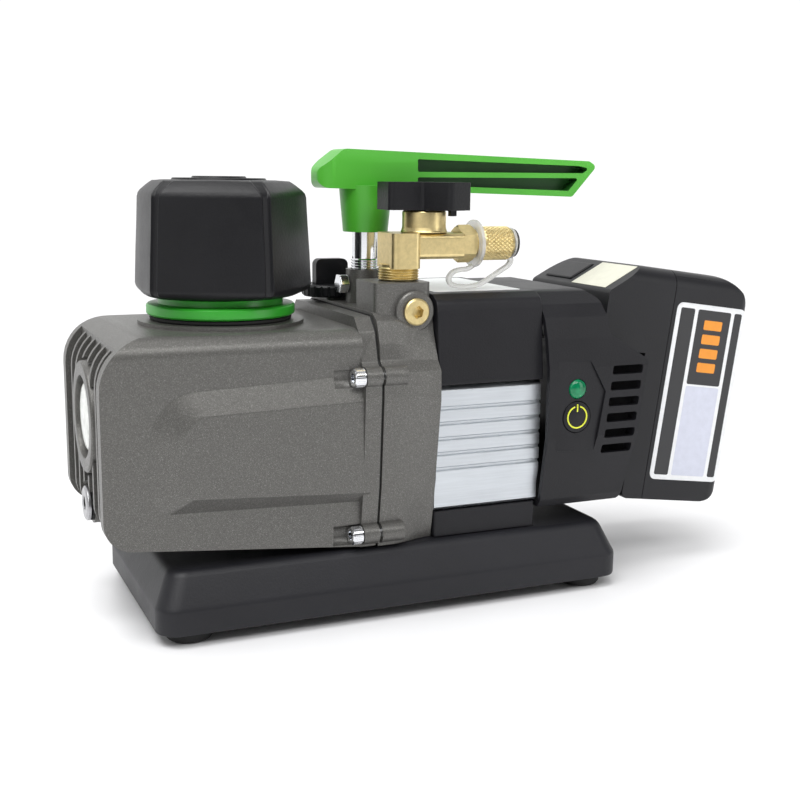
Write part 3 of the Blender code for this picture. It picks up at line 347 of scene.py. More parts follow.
def shader_of(name, roughness, metallic=0.0, **extra):
    material = bpy.data.materials.new(name)
    material.use_nodes = True
    tree = material.node_tree
    shader = tree.nodes["Principled BSDF"]
    set_inputs(shader, Roughness=roughness, Metallic=metallic, **extra)
    place = tree.nodes.new("ShaderNodeTexCoord")
    return material, tree, shader, place.outputs["Object"]


def noise(tree, place, scale, detail=4.0, rough=0.6):
    node = tree.nodes.new("ShaderNodeTexNoise")
    set_inputs(node, Scale=scale, Detail=detail, Roughness=rough)
    tree.links.new(place, node.inputs["Vector"])
    return node.outputs["Fac"]


def paint(tree, shader, factor, stops):
    """The base colour, from a ramp over the factor."""
    node = tree.nodes.new("ShaderNodeValToRGB")
    elements = node.color_ramp.elements
    while len(elements) < len(stops):
        elements.new(0.5)
    for element, (position, colour) in zip(elements, stops):
        element.position = position
        element.color = (*colour, 1.0)
    tree.links.new(factor, node.inputs["Fac"])
    tree.links.new(node.outputs["Color"], shader.inputs["Base Color"])


def vary_gloss(tree, shader, factor, low, high):
    node = tree.nodes.new("ShaderNodeMapRange")
    set_inputs(node, To_Min=low, To_Max=high)
    tree.links.new(factor, node.inputs["Value"])
    tree.links.new(node.outputs["Result"], shader.inputs["Roughness"])


def bump(tree, shader, height, strength, distance, before=None):
    node = tree.nodes.new("ShaderNodeBump")
    set_inputs(node, Strength=strength, Distance=distance)
    tree.links.new(height, node.inputs["Height"])
    if before is not None:
        tree.links.new(before, node.inputs["Normal"])
    tree.links.new(node.outputs["Normal"], shader.inputs["Normal"])
    return node.outputs["Normal"]


def tinted(colour, factor):
    return tuple(min(1.0, channel * factor) for channel in colour)


def moulded(name, colour, roughness=0.42, grain=900.0, depth=0.25, spread_of=0.12, **extra):
    """Moulded plastic: a fine grain, with slow changes of shade and gloss."""
    material, tree, shader, place = shader_of(name, roughness, **extra)
    slow = noise(tree, place, 22.0, 3.0)
    shades = [(0.3, tinted(colour, 1.0 - spread_of)), (0.7, tinted(colour, 1.0 + spread_of))]
    paint(tree, shader, slow, shades)
    fine = noise(tree, place, grain, 3.0, 0.55)
    gloss = noise(tree, place, 60.0, 5.0, 0.7)
    vary_gloss(tree, shader, gloss, roughness - 0.07, roughness + 0.09)
    bump(tree, shader, fine, depth, 0.0002)
    return material


def enamel(name, colour, fleck):
    """Speckled paint over a casting: light flecks in a grey ground, over a faint orange peel."""
    material, tree, shader, place = shader_of(name, 0.4, 0.5)
    specks = tree.nodes.new("ShaderNodeTexVoronoi")
    set_inputs(specks, Scale=5600.0)
    tree.links.new(place, specks.inputs["Vector"])
    grey = tree.nodes.new("ShaderNodeSeparateColor")
    tree.links.new(specks.outputs["Color"], grey.inputs["Color"])
    stops = [
        (0.0, tinted(colour, 0.78)),
        (0.5, colour),
        (0.88, tinted(colour, 1.22)),
        (0.97, fleck),
    ]
    paint(tree, shader, grey.outputs["Red"], stops)
    peel = noise(tree, place, 420.0, 4.0, 0.6)
    vary_gloss(tree, shader, grey.outputs["Green"], 0.3, 0.5)
    first = bump(tree, shader, peel, 0.35, 0.0003)
    bump(tree, shader, grey.outputs["Blue"], 0.06, 0.0001, first)
    return material


def metal(name, colour, roughness=0.25, streak=(1.0, 1.0, 14.0), scale=120.0, depth=0.12, wear=0.14):
    """Machined metal: fine streaks across the streak axis, with small changes of tone."""
    material, tree, shader, place = shader_of(name, roughness, 1.0)
    mapping = tree.nodes.new("ShaderNodeMapping")
    set_inputs(mapping, Scale=streak)
    tree.links.new(place, mapping.inputs["Vector"])
    lines = noise(tree, mapping.outputs["Vector"], scale, 6.0, 0.65)
    shades = [(0.3, tinted(colour, 1.0 - wear)), (0.7, tinted(colour, 1.0 + wear * 0.6))]
    paint(tree, shader, lines, shades)
    blotch = noise(tree, place, 90.0, 4.0)
    vary_gloss(tree, shader, blotch, roughness * 0.75, roughness * 1.35)
    bump(tree, shader, lines, depth, 0.0001)
    return material


def cast(name, colour):
    material, tree, shader, place = shader_of(name, 0.5, 0.8)
    rough = noise(tree, place, 300.0, 8.0, 0.75)
    shades = [(0.25, tinted(colour, 0.7)), (0.75, tinted(colour, 1.3))]
    paint(tree, shader, rough, shades)
    bump(tree, shader, rough, 0.5, 0.0004)
    return material


def banded(name, roughness, metallic, direction, scale, distortion, stops, distance):
    """Even bands in colour and height, for wound wire and folded paper."""
    material, tree, shader, place = shader_of(name, roughness, metallic)
    wave = tree.nodes.new("ShaderNodeTexWave")
    wave.bands_direction = direction
    set_inputs(wave, Scale=scale, Distortion=distortion)
    tree.links.new(place, wave.inputs["Vector"])
    paint(tree, shader, wave.outputs["Fac"], stops)
    bump(tree, shader, wave.outputs["Fac"], 0.6, distance)
    return material


def circuit_board():
    material, tree, shader, place = shader_of("circuit_board", 0.35)
    cells = tree.nodes.new("ShaderNodeTexVoronoi")
    cells.distance = "CHEBYCHEV"
    cells.feature = "F1"
    set_inputs(cells, Scale=260.0)
    tree.links.new(place, cells.inputs["Vector"])
    stops = [(0.25, (0.01, 0.13, 0.04)), (0.32, (0.02, 0.22, 0.07)), (0.6, (0.015, 0.16, 0.05))]
    paint(tree, shader, cells.outputs["Distance"], stops)
    bump(tree, shader, cells.outputs["Distance"], 0.2, 0.0002)
    return material


def printed(name, colour):
    """Printed label film: almost even ink with a faint mottle, under a clear gloss."""
    material, tree, shader, place = shader_of(name, 0.3)
    mottle = noise(tree, place, 260.0, 4.0)
    shades = [(0.3, tinted(colour, 0.95)), (0.7, tinted(colour, 1.04))]
    paint(tree, shader, mottle, shades)
    vary_gloss(tree, shader, mottle, 0.26, 0.36)
    bump(tree, shader, mottle, 0.05, 0.0001)
    return material


def clear_plastic():
    material = moulded("clear_plastic", (0.84, 0.84, 0.82), 0.2, 500.0, 0.1, 0.03)
    set_inputs(material.node_tree.nodes["Principled BSDF"], Transmission_Weight=0.55, Alpha=0.8)
    return material


def sight_lens():
    """Frosted lens with cloudy mottling, as if oil mist sat behind it."""
    material, tree, shader, place = shader_of("sight_lens", 0.12)
    cloud = noise(tree, place, 150.0, 6.0, 0.7)
    stops = [(0.3, (0.50, 0.52, 0.48)), (0.6, (0.74, 0.76, 0.72))]
    paint(tree, shader, cloud, stops)
    vary_gloss(tree, shader, cloud, 0.06, 0.2)
    bump(tree, shader, cloud, 0.15, 0.0003)
    return material


def lamp_lens():
    material, tree, shader, place = shader_of("lamp_lens", 0.12)
    glow = noise(tree, place, 130.0, 2.0)
    stops = [(0.3, (0.0, 0.10, 0.04)), (0.7, (0.003, 0.26, 0.10))]
    paint(tree, shader, glow, stops)
    set_inputs(shader, Emission_Color=(0.0, 0.55, 0.2, 1.0), Emission_Strength=0.05)
    bump(tree, shader, glow, 0.05, 0.0002)
    return material


GREY = (0.118, 0.115, 0.108)
BLACK = (0.0095, 0.0093, 0.0115)
CAP_BLACK = (0.0055, 0.0055, 0.007)
BATTERY_BLACK = (0.0085, 0.0085, 0.0105)
TRAY_BLACK = (0.0115, 0.0115, 0.0145)
COPPER = [(0.1, (0.12, 0.035, 0.012)), (0.6, (0.62, 0.24, 0.09))]
PAPER = [(0.2, (0.42, 0.36, 0.22)), (0.8, (0.7, 0.64, 0.47))]
MAT = {
    "enamel": enamel("speckled_enamel", GREY, (0.25, 0.25, 0.235)),
    "black": moulded("black_plastic", BLACK, 0.42, 1100.0, 0.35, 0.14, Specular_IOR_Level=0.3),
    "cap": moulded("cap_plastic", CAP_BLACK, 0.4, 700.0, 0.5, 0.18, Specular_IOR_Level=0.3),
    "battery": moulded("battery_plastic", BATTERY_BLACK, 0.4, 1300.0, Specular_IOR_Level=0.35),
    "tray": moulded("tray_plastic", TRAY_BLACK, 0.45, 900.0, 0.35, Specular_IOR_Level=0.35),
    "green": moulded("green_plastic", (0.07, 0.40, 0.028), 0.36, 1400.0, 0.1, 0.06),
    # Painted shade: the grip's slot walls take this darker green to stand in for the shade inside the
    # slots, not a second plastic.
    "dark_green": moulded("painted_slot_shade", (0.012, 0.10, 0.010), 0.5, 1400.0, 0.15, 0.08),
    "ring_green": moulded("ring_green", (0.03, 0.36, 0.025), 0.3, 1400.0, 0.08, 0.06),
    "rubber": moulded("black_rubber", (0.012, 0.012, 0.012), 0.75, 600.0, 0.5, 0.2),
    "brass": metal("brass", (0.74, 0.60, 0.30), 0.36, (1.0, 1.0, 1.0), 420.0, 0.3),
    "chrome": metal("chrome", (0.78, 0.79, 0.81), 0.12, (1.0, 1.0, 10.0), 90.0, 0.04, 0.06),
    "steel": metal("steel", (0.44, 0.44, 0.45), 0.34),
    "aluminium": metal("aluminium", (0.60, 0.63, 0.66), 0.38, (0.04, 1.0, 1.0), 900.0, 0.12, 0.08),
    "iron": cast("grey_iron", (0.10, 0.10, 0.11)),
    "carbon": moulded("carbon_vane", (0.035, 0.035, 0.037), 0.55, 1500.0, 0.2, 0.2),
    "windings": banded("windings", 0.35, 0.9, "X", 320.0, 0.6, COPPER, 0.0003),
    "board": circuit_board(),
    "paper": banded("filter_paper", 0.9, 0.0, "Z", 140.0, 2.0, PAPER, 0.0006),
    "cells": moulded("cell_wrap", (0.03, 0.13, 0.40), 0.3, 400.0, 0.1, 0.08),
    "clear": clear_plastic(),
    "lens": sight_lens(),
    "lamp": lamp_lens(),
    "white": printed("label_white", (0.80, 0.81, 0.82)),
    "pale": printed("label_pale", (0.60, 0.62, 0.72)),
    "ink": printed("label_ink", (0.018, 0.018, 0.020)),
    "orange": printed("label_orange", (0.80, 0.29, 0.02)),
    "cream": printed("cream_panel", (0.66, 0.65, 0.54)),
    "yellow": printed("symbol_yellow", (0.72, 0.76, 0.05)),
    # Painted shade: near-black for the inside of the drain screw's hex socket, where shade falls in the
    # hole.
    "slot": moulded("painted_socket_shade", (0.006, 0.006, 0.007), 0.6, 900.0, 0.2, 0.1),
}
MAT["foot"] = MAT["rubber"]


# ---- base -------------------------------------------------------------------------------------

FOOT_PLACES = [(x, y) for x in (-100.0, 100.0) for y in (-44.0, 44.0)]


def tray_ring(half_length, half_width, radius, z):
    return [(x, y, z) for x, y in rectangle(-half_length, -half_width, half_length, half_width, radius)]


def base():
    outside = [
        (112.6, 55.0, 6.6, 5.5), (115.0, 57.4, 9.0, 5.5), (115.7, 58.1, 9.7, 5.8),
        (116.0, 58.4, 10.0, 6.5), (116.0, 58.4, 10.0, 16.0), (115.8, 58.2, 9.9, 17.2),
        (115.2, 57.5, 9.7, 18.4), (110.4, 52.2, 8.5, 29.6), (109.2, 50.9, 8.0, 31.2),
        (107.8, 49.6, 7.4, 32.1), (106.0, 47.8, 6.6, 32.4),
    ]
    inside = [
        (104.6, 46.4, 5.8, 29.4), (106.4, 48.2, 6.2, 28.2), (113.0, 55.4, 7.0, 16.5),
        (113.0, 55.4, 7.0, 3.0),
    ]
    solid = loft([tray_ring(*level) for level in outside])
    cuts = [(CUT, loft([tray_ring(*level) for level in reversed(inside)]))]
    for x, y in FOOT_PLACES:
        cuts.append((ADD, cylinder(7.0, 6.4, 30.4, "Z", (x, y, 0.0), 32)))
    for x in (-60.0, -20.0, 20.0, 60.0):
        cuts.append((ADD, box((x - 1.0, -50.0, 14.0), (x + 1.0, 50.0, 30.0))))
    piece("tray_shell", combined(solid, cuts), "tray", MAIN, ("base_tray",), 0.5, 2, 35.0)
    profile = [(0.0, 0.0), (8.2, 0.0), (9.6, 0.5), (10.4, 1.6)]
    profile += [(10.5, 4.4), (9.6, 5.6), (9.2, 6.1), (0.0, 6.1)]
    for number, (x, y) in enumerate(FOOT_PLACES, 1):
        foot = turned(profile, "Z", (x, y, 0.0), 64)
        piece("rubber_foot_%d" % number, foot, "foot", MAIN, ("foot_%d" % number,), 0.0)


# ---- oil tank ---------------------------------------------------------------------------------

FLANGE_HALF = [
    (49.0, 33.2), (53.0, 62.0), (55.3, 104.0), (55.3, 114.0), (50.0, 118.6), (46.0, 132.0),
    (40.0, 138.3),
]


def screw_places():
    places = []
    for y, z in (UPPER_SCREW, LOWER_SCREW):
        places.append((-y, z))
        places.append((y, z))
    return places


def tank_side(inset):
    right = FLANGE_LEFT + 1.0
    points = [
        (right, 33.4 + inset), (right, TANK_TOP - inset),
        (TANK_LEFT + inset, TANK_TOP - inset), (TANK_LEFT + inset, 44.0 + inset),
    ]
    return rounded(points, [0.0, 0.0, 22.0 - inset, 13.0 - inset * 0.5])


def side_panel(side):
    """The raised panel on a tank side, with a rounded foot and brow to its slope."""
    right = FLANGE_LEFT + 3.0
    foot_line = [(-117.0, 57.5), (right, 54.5), (right, 114.2), (-117.0, 110.0)]
    brow_line = [(-101.5, 64.8), (right, 60.0), (right, 101.6), (-101.5, 99.4)]
    outer = rounded(foot_line, [9.0, 0.1, 0.1, 22.0])
    inner = rounded(brow_line, [4.0, 0.1, 0.1, 10.0])
    rings = [[(x, side * (TANK_HALF - 3.0), z) for x, z in outer]]
    foot = 0.1
    brow = 0.92
    for share in (0.0, 0.03, 0.06, 0.1, 0.35, 0.6, 0.92, 0.95, 0.97, 0.99, 1.0):
        if share < foot:
            rise = PANEL_RISE * 0.06 * (share / foot) ** 2
        elif share < brow:
            rise = PANEL_RISE * (0.06 + 0.88 * (share - foot) / (brow - foot))
        else:
            rise = PANEL_RISE * (1.0 - 0.06 * ((1.0 - share) / (1.0 - brow)) ** 2)
        level = []
        for (x0, z0), (x1, z1) in zip(outer, inner):
            y = side * (TANK_HALF - 0.05 + rise)
            level.append((x0 + (x1 - x0) * share, y, z0 + (z1 - z0) * share))
        rings.append(level)
    return loft(rings)


def end_fin(y):
    low_x = TANK_WALL_X + 1.5
    points = [(x, z) for x, z in tank_side(1.2) if x < low_x]
    points.insert(0, (low_x, points[0][1]))
    points.append((low_x, points[-1][1]))
    return prism(points, "Y", y - 1.6, y + 1.6)


def tank():
    half = TANK_HALF
    end = rectangle(-half, 20.0, half, TANK_TOP, [0.0, 0.0, 9.0, 9.0])
    steps = [(KEEP, prism(end, "X", -150.0, FLANGE_LEFT + 5.0))]
    steps += [(ADD, side_panel(side)) for side in (-1.0, 1.0)]
    steps.append((CUT, prism(rectangle(-42.0, 20.0, 42.0, 150.0), "X", -150.0, TANK_WALL_X)))
    steps += [(ADD, end_fin(y)) for y in (-31.5, -18.9, -6.3, 6.3, 18.9, 31.5)]
    sight = (0.0, 0.0, SIGHT_Z)
    drain_place = (0.0, 0.0, DRAIN_Z)
    filler_place = (FILLER_X, 0.0, 0.0)
    steps += [
        (CUT, cylinder(26.6, -142.0, -127.8, "X", sight)),
        (CUT, cylinder(10.6, -142.0, -128.6, "X", drain_place, 48)),
        (ADD, cylinder(9.3, -132.8, -126.0, "X", drain_place, 48)),
        (ADD, cylinder(38.0, 131.0, 135.2, "Z", filler_place)),
        (ADD, prism(mirrored(rounded_open(FLANGE_HALF, 2.0)), "X", FLANGE_LEFT, FLANGE_RIGHT)),
    ]
    for y, z in screw_places():
        lug = cylinder(LUG_RADIUS, FLANGE_LEFT + 0.1, FLANGE_RIGHT - 0.1, "X", (0.0, y, z), 40)
        steps.append((ADD, lug))
    right = FLANGE_RIGHT + 4.0
    roof = TANK_TOP - 5.0
    room = [(right, 39.5), (right, roof), (-124.0, roof), (-124.0, 45.5)]
    hollow = rounded(room, [0.0, 0.0, 16.0, 7.0], 6)
    steps.append((CUT, prism(hollow, "Y", -half + 6.5, half - 6.5)))
    for y, z in screw_places():
        steps.append((CUT, cylinder(4.9, -34.0, FLANGE_LEFT, "X", (0.0, y, z), 40)))
    steps += [
        (CUT, cylinder(15.0, -142.0, -118.0, "X", sight)),
        (CUT, cylinder(5.3, -142.0, -118.0, "X", drain_place, 40)),
        (CUT, cylinder(25.9, 120.0, 140.0, "Z", filler_place)),
    ]
    for y, z in screw_places():
        steps.append((CUT, cylinder(HOLE_RADIUS, -26.0, -9.0, "X", (0.0, y, z), 32)))
    solid = combined(prism(tank_side(0.0), "Y", -60.0, 60.0), steps)
    piece("tank_casting", solid, "enamel", MAIN, ("oil_tank",), 0.7, 3, 25.0)
    bezel = [
        (18.7, BEZEL_LEFT), (24.6, BEZEL_LEFT), (25.2, BEZEL_LEFT + 0.7), (26.1, -128.3),
        (22.3, -128.3), (22.3, -129.6), (18.7, -129.6),
    ]
    bezel_solid = turned(soft_profile(bezel, 0.35), "X", sight)
    piece("sight_bezel", bezel_solid, "enamel", MAIN, ("sight_glass_bezel",), 0.0)
    # A dark rubber ring round the lens dome, put in as painted shade inside the bezel.
    recess = soft_profile([(15.3, -132.6), (18.5, -132.6), (18.5, -130.3), (15.3, -130.3)], 0.3)
    piece("sight_shade_ring", turned(recess, "X", sight), "rubber", MAIN, (), 0.0)
    dome = [(15.1 * math.cos(a), -134.0 - 1.5 * math.sin(a)) for a in arc_angles(0.0, 90.0, 14)]
    dome[-1] = (0.0, dome[-1][1])
    lens = [(0.0, -128.3), (22.0, -128.3), (22.0, -129.3), (18.5, -129.3)]
    lens += [(18.5, -130.0), (15.1, -130.0)] + dome
    piece("sight_lens", turned(lens, "X", sight), "lens", MAIN, ("sight_glass_lens",), 0.0)


def drain():
    centre = (0.0, 0.0, DRAIN_Z)
    profile = [
        (0.0, -136.4), (7.0, -136.4), (8.0, -135.7), (8.0, -134.2), (4.9, -134.2),
        (4.9, -125.0), (0.0, -125.0),
    ]
    solid = combined(
        turned(profile, "X", centre, 64),
        [(CUT, prism(hexagon(6.0, (0.0, DRAIN_Z)), "X", -140.0, -132.5))],
    )
    screw = piece("drain_screw", solid, "steel", "drain_plug_body", ("drain_plug",), 0.25, 2, 30.0)
    # The faces inside the hex socket take the near-black: painted shade in the recess, not the steel's
    # own colour.
    screw.data.materials.append(MAT["slot"])
    for face in screw.data.polygons:
        middle = face.center / MM
        if math.hypot(middle.y, middle.z - DRAIN_Z) < 3.6 and middle.x > -136.2 - CENTRE_X:
            face.material_index = 1


# ---- filler and exhaust cap -------------------------------------------------------------------

CAP_SIDES = 5
CAP_TURN = math.radians(-111.6)


def cap_plan(half, z, bulge=0.8, groove=0.0, share=0.635):
    """One level of the cap: five slightly bowed faces with a narrow sunk strip at each corner."""
    face = half * share
    side_turn = 2 * math.pi / CAP_SIDES
    points = []
    for side in range(CAP_SIDES):
        local = []
        for step in range(17):
            across = face * (step / 8.0 - 1.0)
            local.append(Vector((half - bulge * (across / face) ** 2, across)))
        first = local[-1]
        last = Matrix.Rotation(side_turn, 2) @ Vector((half - bulge, -face))
        inward = -(first + last).normalized() * groove
        for step in (0.07, 0.13, 0.2, 0.4, 0.6, 0.8, 0.87, 0.93):
            depth = min(1.0, min(step, 1.0 - step) / 0.18)
            local.append(first.lerp(last, step) + inward * depth)
        for point in local:
            placed = Matrix.Rotation(CAP_TURN + side * side_turn, 2) @ point
            points.append((FILLER_X + placed.x, placed.y, z))
    return points


def cap_circle(radius, z):
    points = []
    for x, y, _ in cap_plan(36.0, z):
        angle = math.atan2(y, x - FILLER_X)
        points.append((FILLER_X + radius * math.cos(angle), radius * math.sin(angle), z))
    return points


def cap_blend(share, low, high, z):
    return [tuple(Vector(a[:2]).lerp(Vector(b[:2]), share)) + (z,) for a, b in zip(low, high)]


def exhaust_cap():
    rim = cap_circle(33.0, 146.2)
    skirt = cap_plan(35.8, 148.1, 0.8, 0.5)
    rings = [rim, cap_blend(0.35, rim, skirt, 146.35), cap_blend(0.8, rim, skirt, 147.2), skirt]
    for z, half, sunk, share in (
        (149.3, 36.4, 0.9, 0.636), (150.6, 36.6, 1.2, 0.64), (165.0, 36.0, 1.2, 0.64),
        (178.0, 35.3, 1.2, 0.638), (190.2, 34.8, 1.2, 0.635), (192.0, 34.4, 1.1, 0.625),
        (193.4, 33.5, 1.0, 0.61), (195.4, 31.4, 0.9, 0.59), (196.9, 29.6, 0.7, 0.575),
    ):
        rings.append(cap_plan(half, z, 0.8, sunk, share))
    shoulder = cap_plan(28.4, 197.6, 0.6, 0.2, 0.57)
    top = cap_circle(27.0, 197.9)
    rings.append(shoulder)
    rings.append(top)
    rings.append(cap_circle(26.0, 198.0))
    for radius, z in ((21.6, 198.0), (21.3, 198.2), (21.2, 198.6), (20.9, 198.9)):
        rings.append(cap_circle(radius, z))
    for radius, z in ((12.6, 198.9), (12.3, 199.1), (12.2, 199.4), (11.8, 199.7)):
        rings.append(cap_circle(radius, z))
    bore = [(0.0, 140.0), (27.6, 140.0), (27.6, 168.3), (21.5, 168.3), (21.5, 190.0), (0.0, 190.0)]
    steps = [(CUT, turned(bore, "Z", (FILLER_X, 0.0, 0.0)))]
    solid = combined(loft(rings), steps)
    piece("cap_shell", solid, "cap", "exhaust_cap_body", ("exhaust_cap",), 0.25, 2, 42.0)


def filler():
    centre = (FILLER_X, 0.0, 0.0)
    profile = [
        (15.0, 128.0), (25.5, 128.0), (25.5, 137.5), (33.2, 137.5), (34.0, 138.3),
        (34.0, 141.8), (33.2, 142.6), (28.6, 142.6), (28.6, 145.7), (27.0, 145.7),
    ]
    profile += thread(151.0, 4.0, 3, [(26.2, 0.0), (27.0, 1.0), (27.0, 2.0), (26.2, 3.0)])
    profile += [(27.0, 164.6), (26.4, 166.0), (22.0, 166.0), (22.0, 131.0), (15.0, 131.0)]
    collar = turned(soft_profile(profile, 0.35), "Z", centre)
    piece("filler_collar", collar, "ring_green", MAIN, ("filler_ring",), 0.0)
    gasket = soft_profile([(27.0, 135.5), (32.5, 135.5), (32.5, 137.2), (27.0, 137.2)], 0.5)
    piece("filler_gasket_ring", turned(gasket, "Z", centre), "rubber", MAIN, ("filler_gasket",), 0.0)


# ---- pump housing -----------------------------------------------------------------------------

FRONT_HALF = [
    (49.0, 32.7), (53.0, 62.0), (55.4, 102.5), (55.3, 114.0), (50.1, 119.2), (49.3, 126.4),
    (45.6, 136.7), (39.7, 139.8),
]
REAR_HALF = [
    (43.8, 32.7), (46.9, 49.4), (53.4, 100.0), (52.9, 113.5), (49.0, 118.2), (46.8, 123.0),
    (43.6, 131.0), (41.7, 139.8),
]
CLAMP_Z = 149.0


def housing():
    front = mirrored(rounded_open(FRONT_HALF, 2.5))
    rear = mirrored(rounded_open(REAR_HALF, 2.5))
    rings = [[(-12.1, y, z) for y, z in front]]
    for step in range(7):
        share = step / 6.0
        ease = share * share * (3 - 2 * share)
        x = -5.0 + 22.0 * share
        level = []
        for (y0, z0), (y1, z1) in zip(front, rear):
            level.append((x, y0 + (y1 - y0) * ease, z0 + (z1 - z0) * ease))
        rings.append(level)
    axis = (0.0, 0.0, AXIS_Z)
    port = (PORT_X, 0.0, PORT_Z)
    post = (POST_X, HANDLE_Y, 0.0)
    valve = (VALVE_X, VALVE_Y, 0.0)
    block = prism(rectangle(-11.0, -42.0, 16.6, -15.0, 3.5), "Z", 130.0, 153.0)
    boss = [(0.0, -44.8), (8.6, -44.8), (9.3, -44.1), (9.4, -30.0), (0.0, -30.0)]
    steps = [
        (ADD, block),
        (ADD, turned(boss, "Y", port)),
        (ADD, cylinder(9.4, 132.0, 156.0, "Z", post)),
        (ADD, prism(rectangle(-11.9, 17.0, 4.6, 37.5, 3.0), "Z", 132.0, 140.8)),
    ]
    for y, z in screw_places():
        steps.append((ADD, cylinder(LUG_RADIUS, -12.0, -1.0, "X", (0.0, y, z), 40)))
    steps += [
        (CUT, cylinder(24.0, -5.0, 30.0, "X", axis)),
        (CUT, cylinder(9.55, -20.0, 0.0, "X", axis)),
        (CUT, cylinder(7.8, 144.0, 160.0, "Z", valve)),
        (CUT, cylinder(5.2, -50.0, -35.5, "Y", port, 40)),
        (CUT, cylinder(7.15, 143.0, 160.0, "Z", post, 48)),
        (CUT, cylinder(2.7, -12.0, POST_X, "X", (0.0, HANDLE_Y, CLAMP_Z), 24)),
        (CUT, cylinder(4.1, 134.0, 145.0, "Z", (KNOB_X, KNOB_Y, 0.0), 40)),
    ]
    for y, z in screw_places():
        steps.append((CUT, cylinder(HOLE_RADIUS, -20.0, -3.0, "X", (0.0, y, z), 32)))
    solid = combined(loft(rings), steps)
    piece("housing_casting", solid, "enamel", MAIN, ("pump_housing",), 0.8, 3, 25.0)


def socket_screw(name, node, y, z):
    left = FLANGE_LEFT
    profile = [
        (0.0, -26.3), (3.8, -26.3), (4.25, -25.8), (4.25, left - 0.3), (2.5, left - 0.3),
        (2.5, -4.4), (2.1, -4.0), (0.0, -4.0),
    ]
    steps = [(CUT, prism(hexagon(4.0, (y, z)), "X", -30.0, -23.6))]
    for step in range(28):
        angle = 2 * math.pi * step / 28
        centre = (0.0, y + 4.32 * math.cos(angle), z + 4.32 * math.sin(angle))
        steps.append((CUT, cylinder(0.19, -25.5, left - 0.6, "X", centre, 6)))
    solid = combined(turned(profile, "X", (0.0, y, z), 84, 0.02), steps)
    piece(name, solid, "chrome", MAIN, (node,), 0.0)


def fittings():
    for number, (y, z) in enumerate(screw_places(), 1):
        socket_screw("socket_screw_%d" % number, "flange_screw_%d" % number, y, z)
    profile = [
        (0.0, -46.9), (5.4, -46.9), (6.2, -46.2), (6.2, -45.1), (4.9, -45.1), (4.9, -36.0),
        (0.0, -36.0),
    ]
    plug = combined(
        turned(profile, "Y", (PORT_X, 0.0, PORT_Z), 64),
        [(CUT, prism(hexagon(5.2, (PORT_X, PORT_Z), 0.3), "Y", -50.0, -43.4))],
    )
    piece("port_plug", plug, "brass", MAIN, ("side_port_plug",), 0.25, 2, 30.0)
    clamp = combined(
        prism(hexagon(8.7, (HANDLE_Y, CLAMP_Z)), "X", -11.6, -7.0),
        [(ADD, cylinder(2.4, -9.0, -4.5, "X", (0.0, HANDLE_Y, CLAMP_Z), 32))],
    )
    piece("clamp_screw", clamp, "chrome", MAIN, ("post_clamp_screw",), 0.4, 2, 30.0)
    disc = [
        (0.0, 136.5), (4.0, 136.5), (4.0, 141.1), (13.2, 141.1), (14.2, 142.0),
        (14.2, 146.0), (13.2, 147.0), (0.0, 147.0),
    ]
    wing = rectangle(KNOB_X - 8.5, 145.0, KNOB_X + 8.5, 159.6, 3.0)
    steps = [(ADD, prism(wing, "Y", KNOB_Y - 2.8, KNOB_Y + 2.8))]
    for step in range(24):
        angle = 2 * math.pi * (step + 0.5) / 24
        centre = (KNOB_X + 14.5 * math.cos(angle), KNOB_Y + 14.5 * math.sin(angle), 0.0)
        steps.append((CUT, cylinder(0.8, 140.0, 150.0, "Z", centre, 12)))
    knob = combined(turned(disc, "Z", (KNOB_X, KNOB_Y, 0.0), 96, 0.01), steps)
    piece("ballast_knob_shell", knob, "cap", "ballast_knob", ("gas_ballast_knob",), 0.4, 2, 32.0)


# ---- inlet valve ------------------------------------------------------------------------------


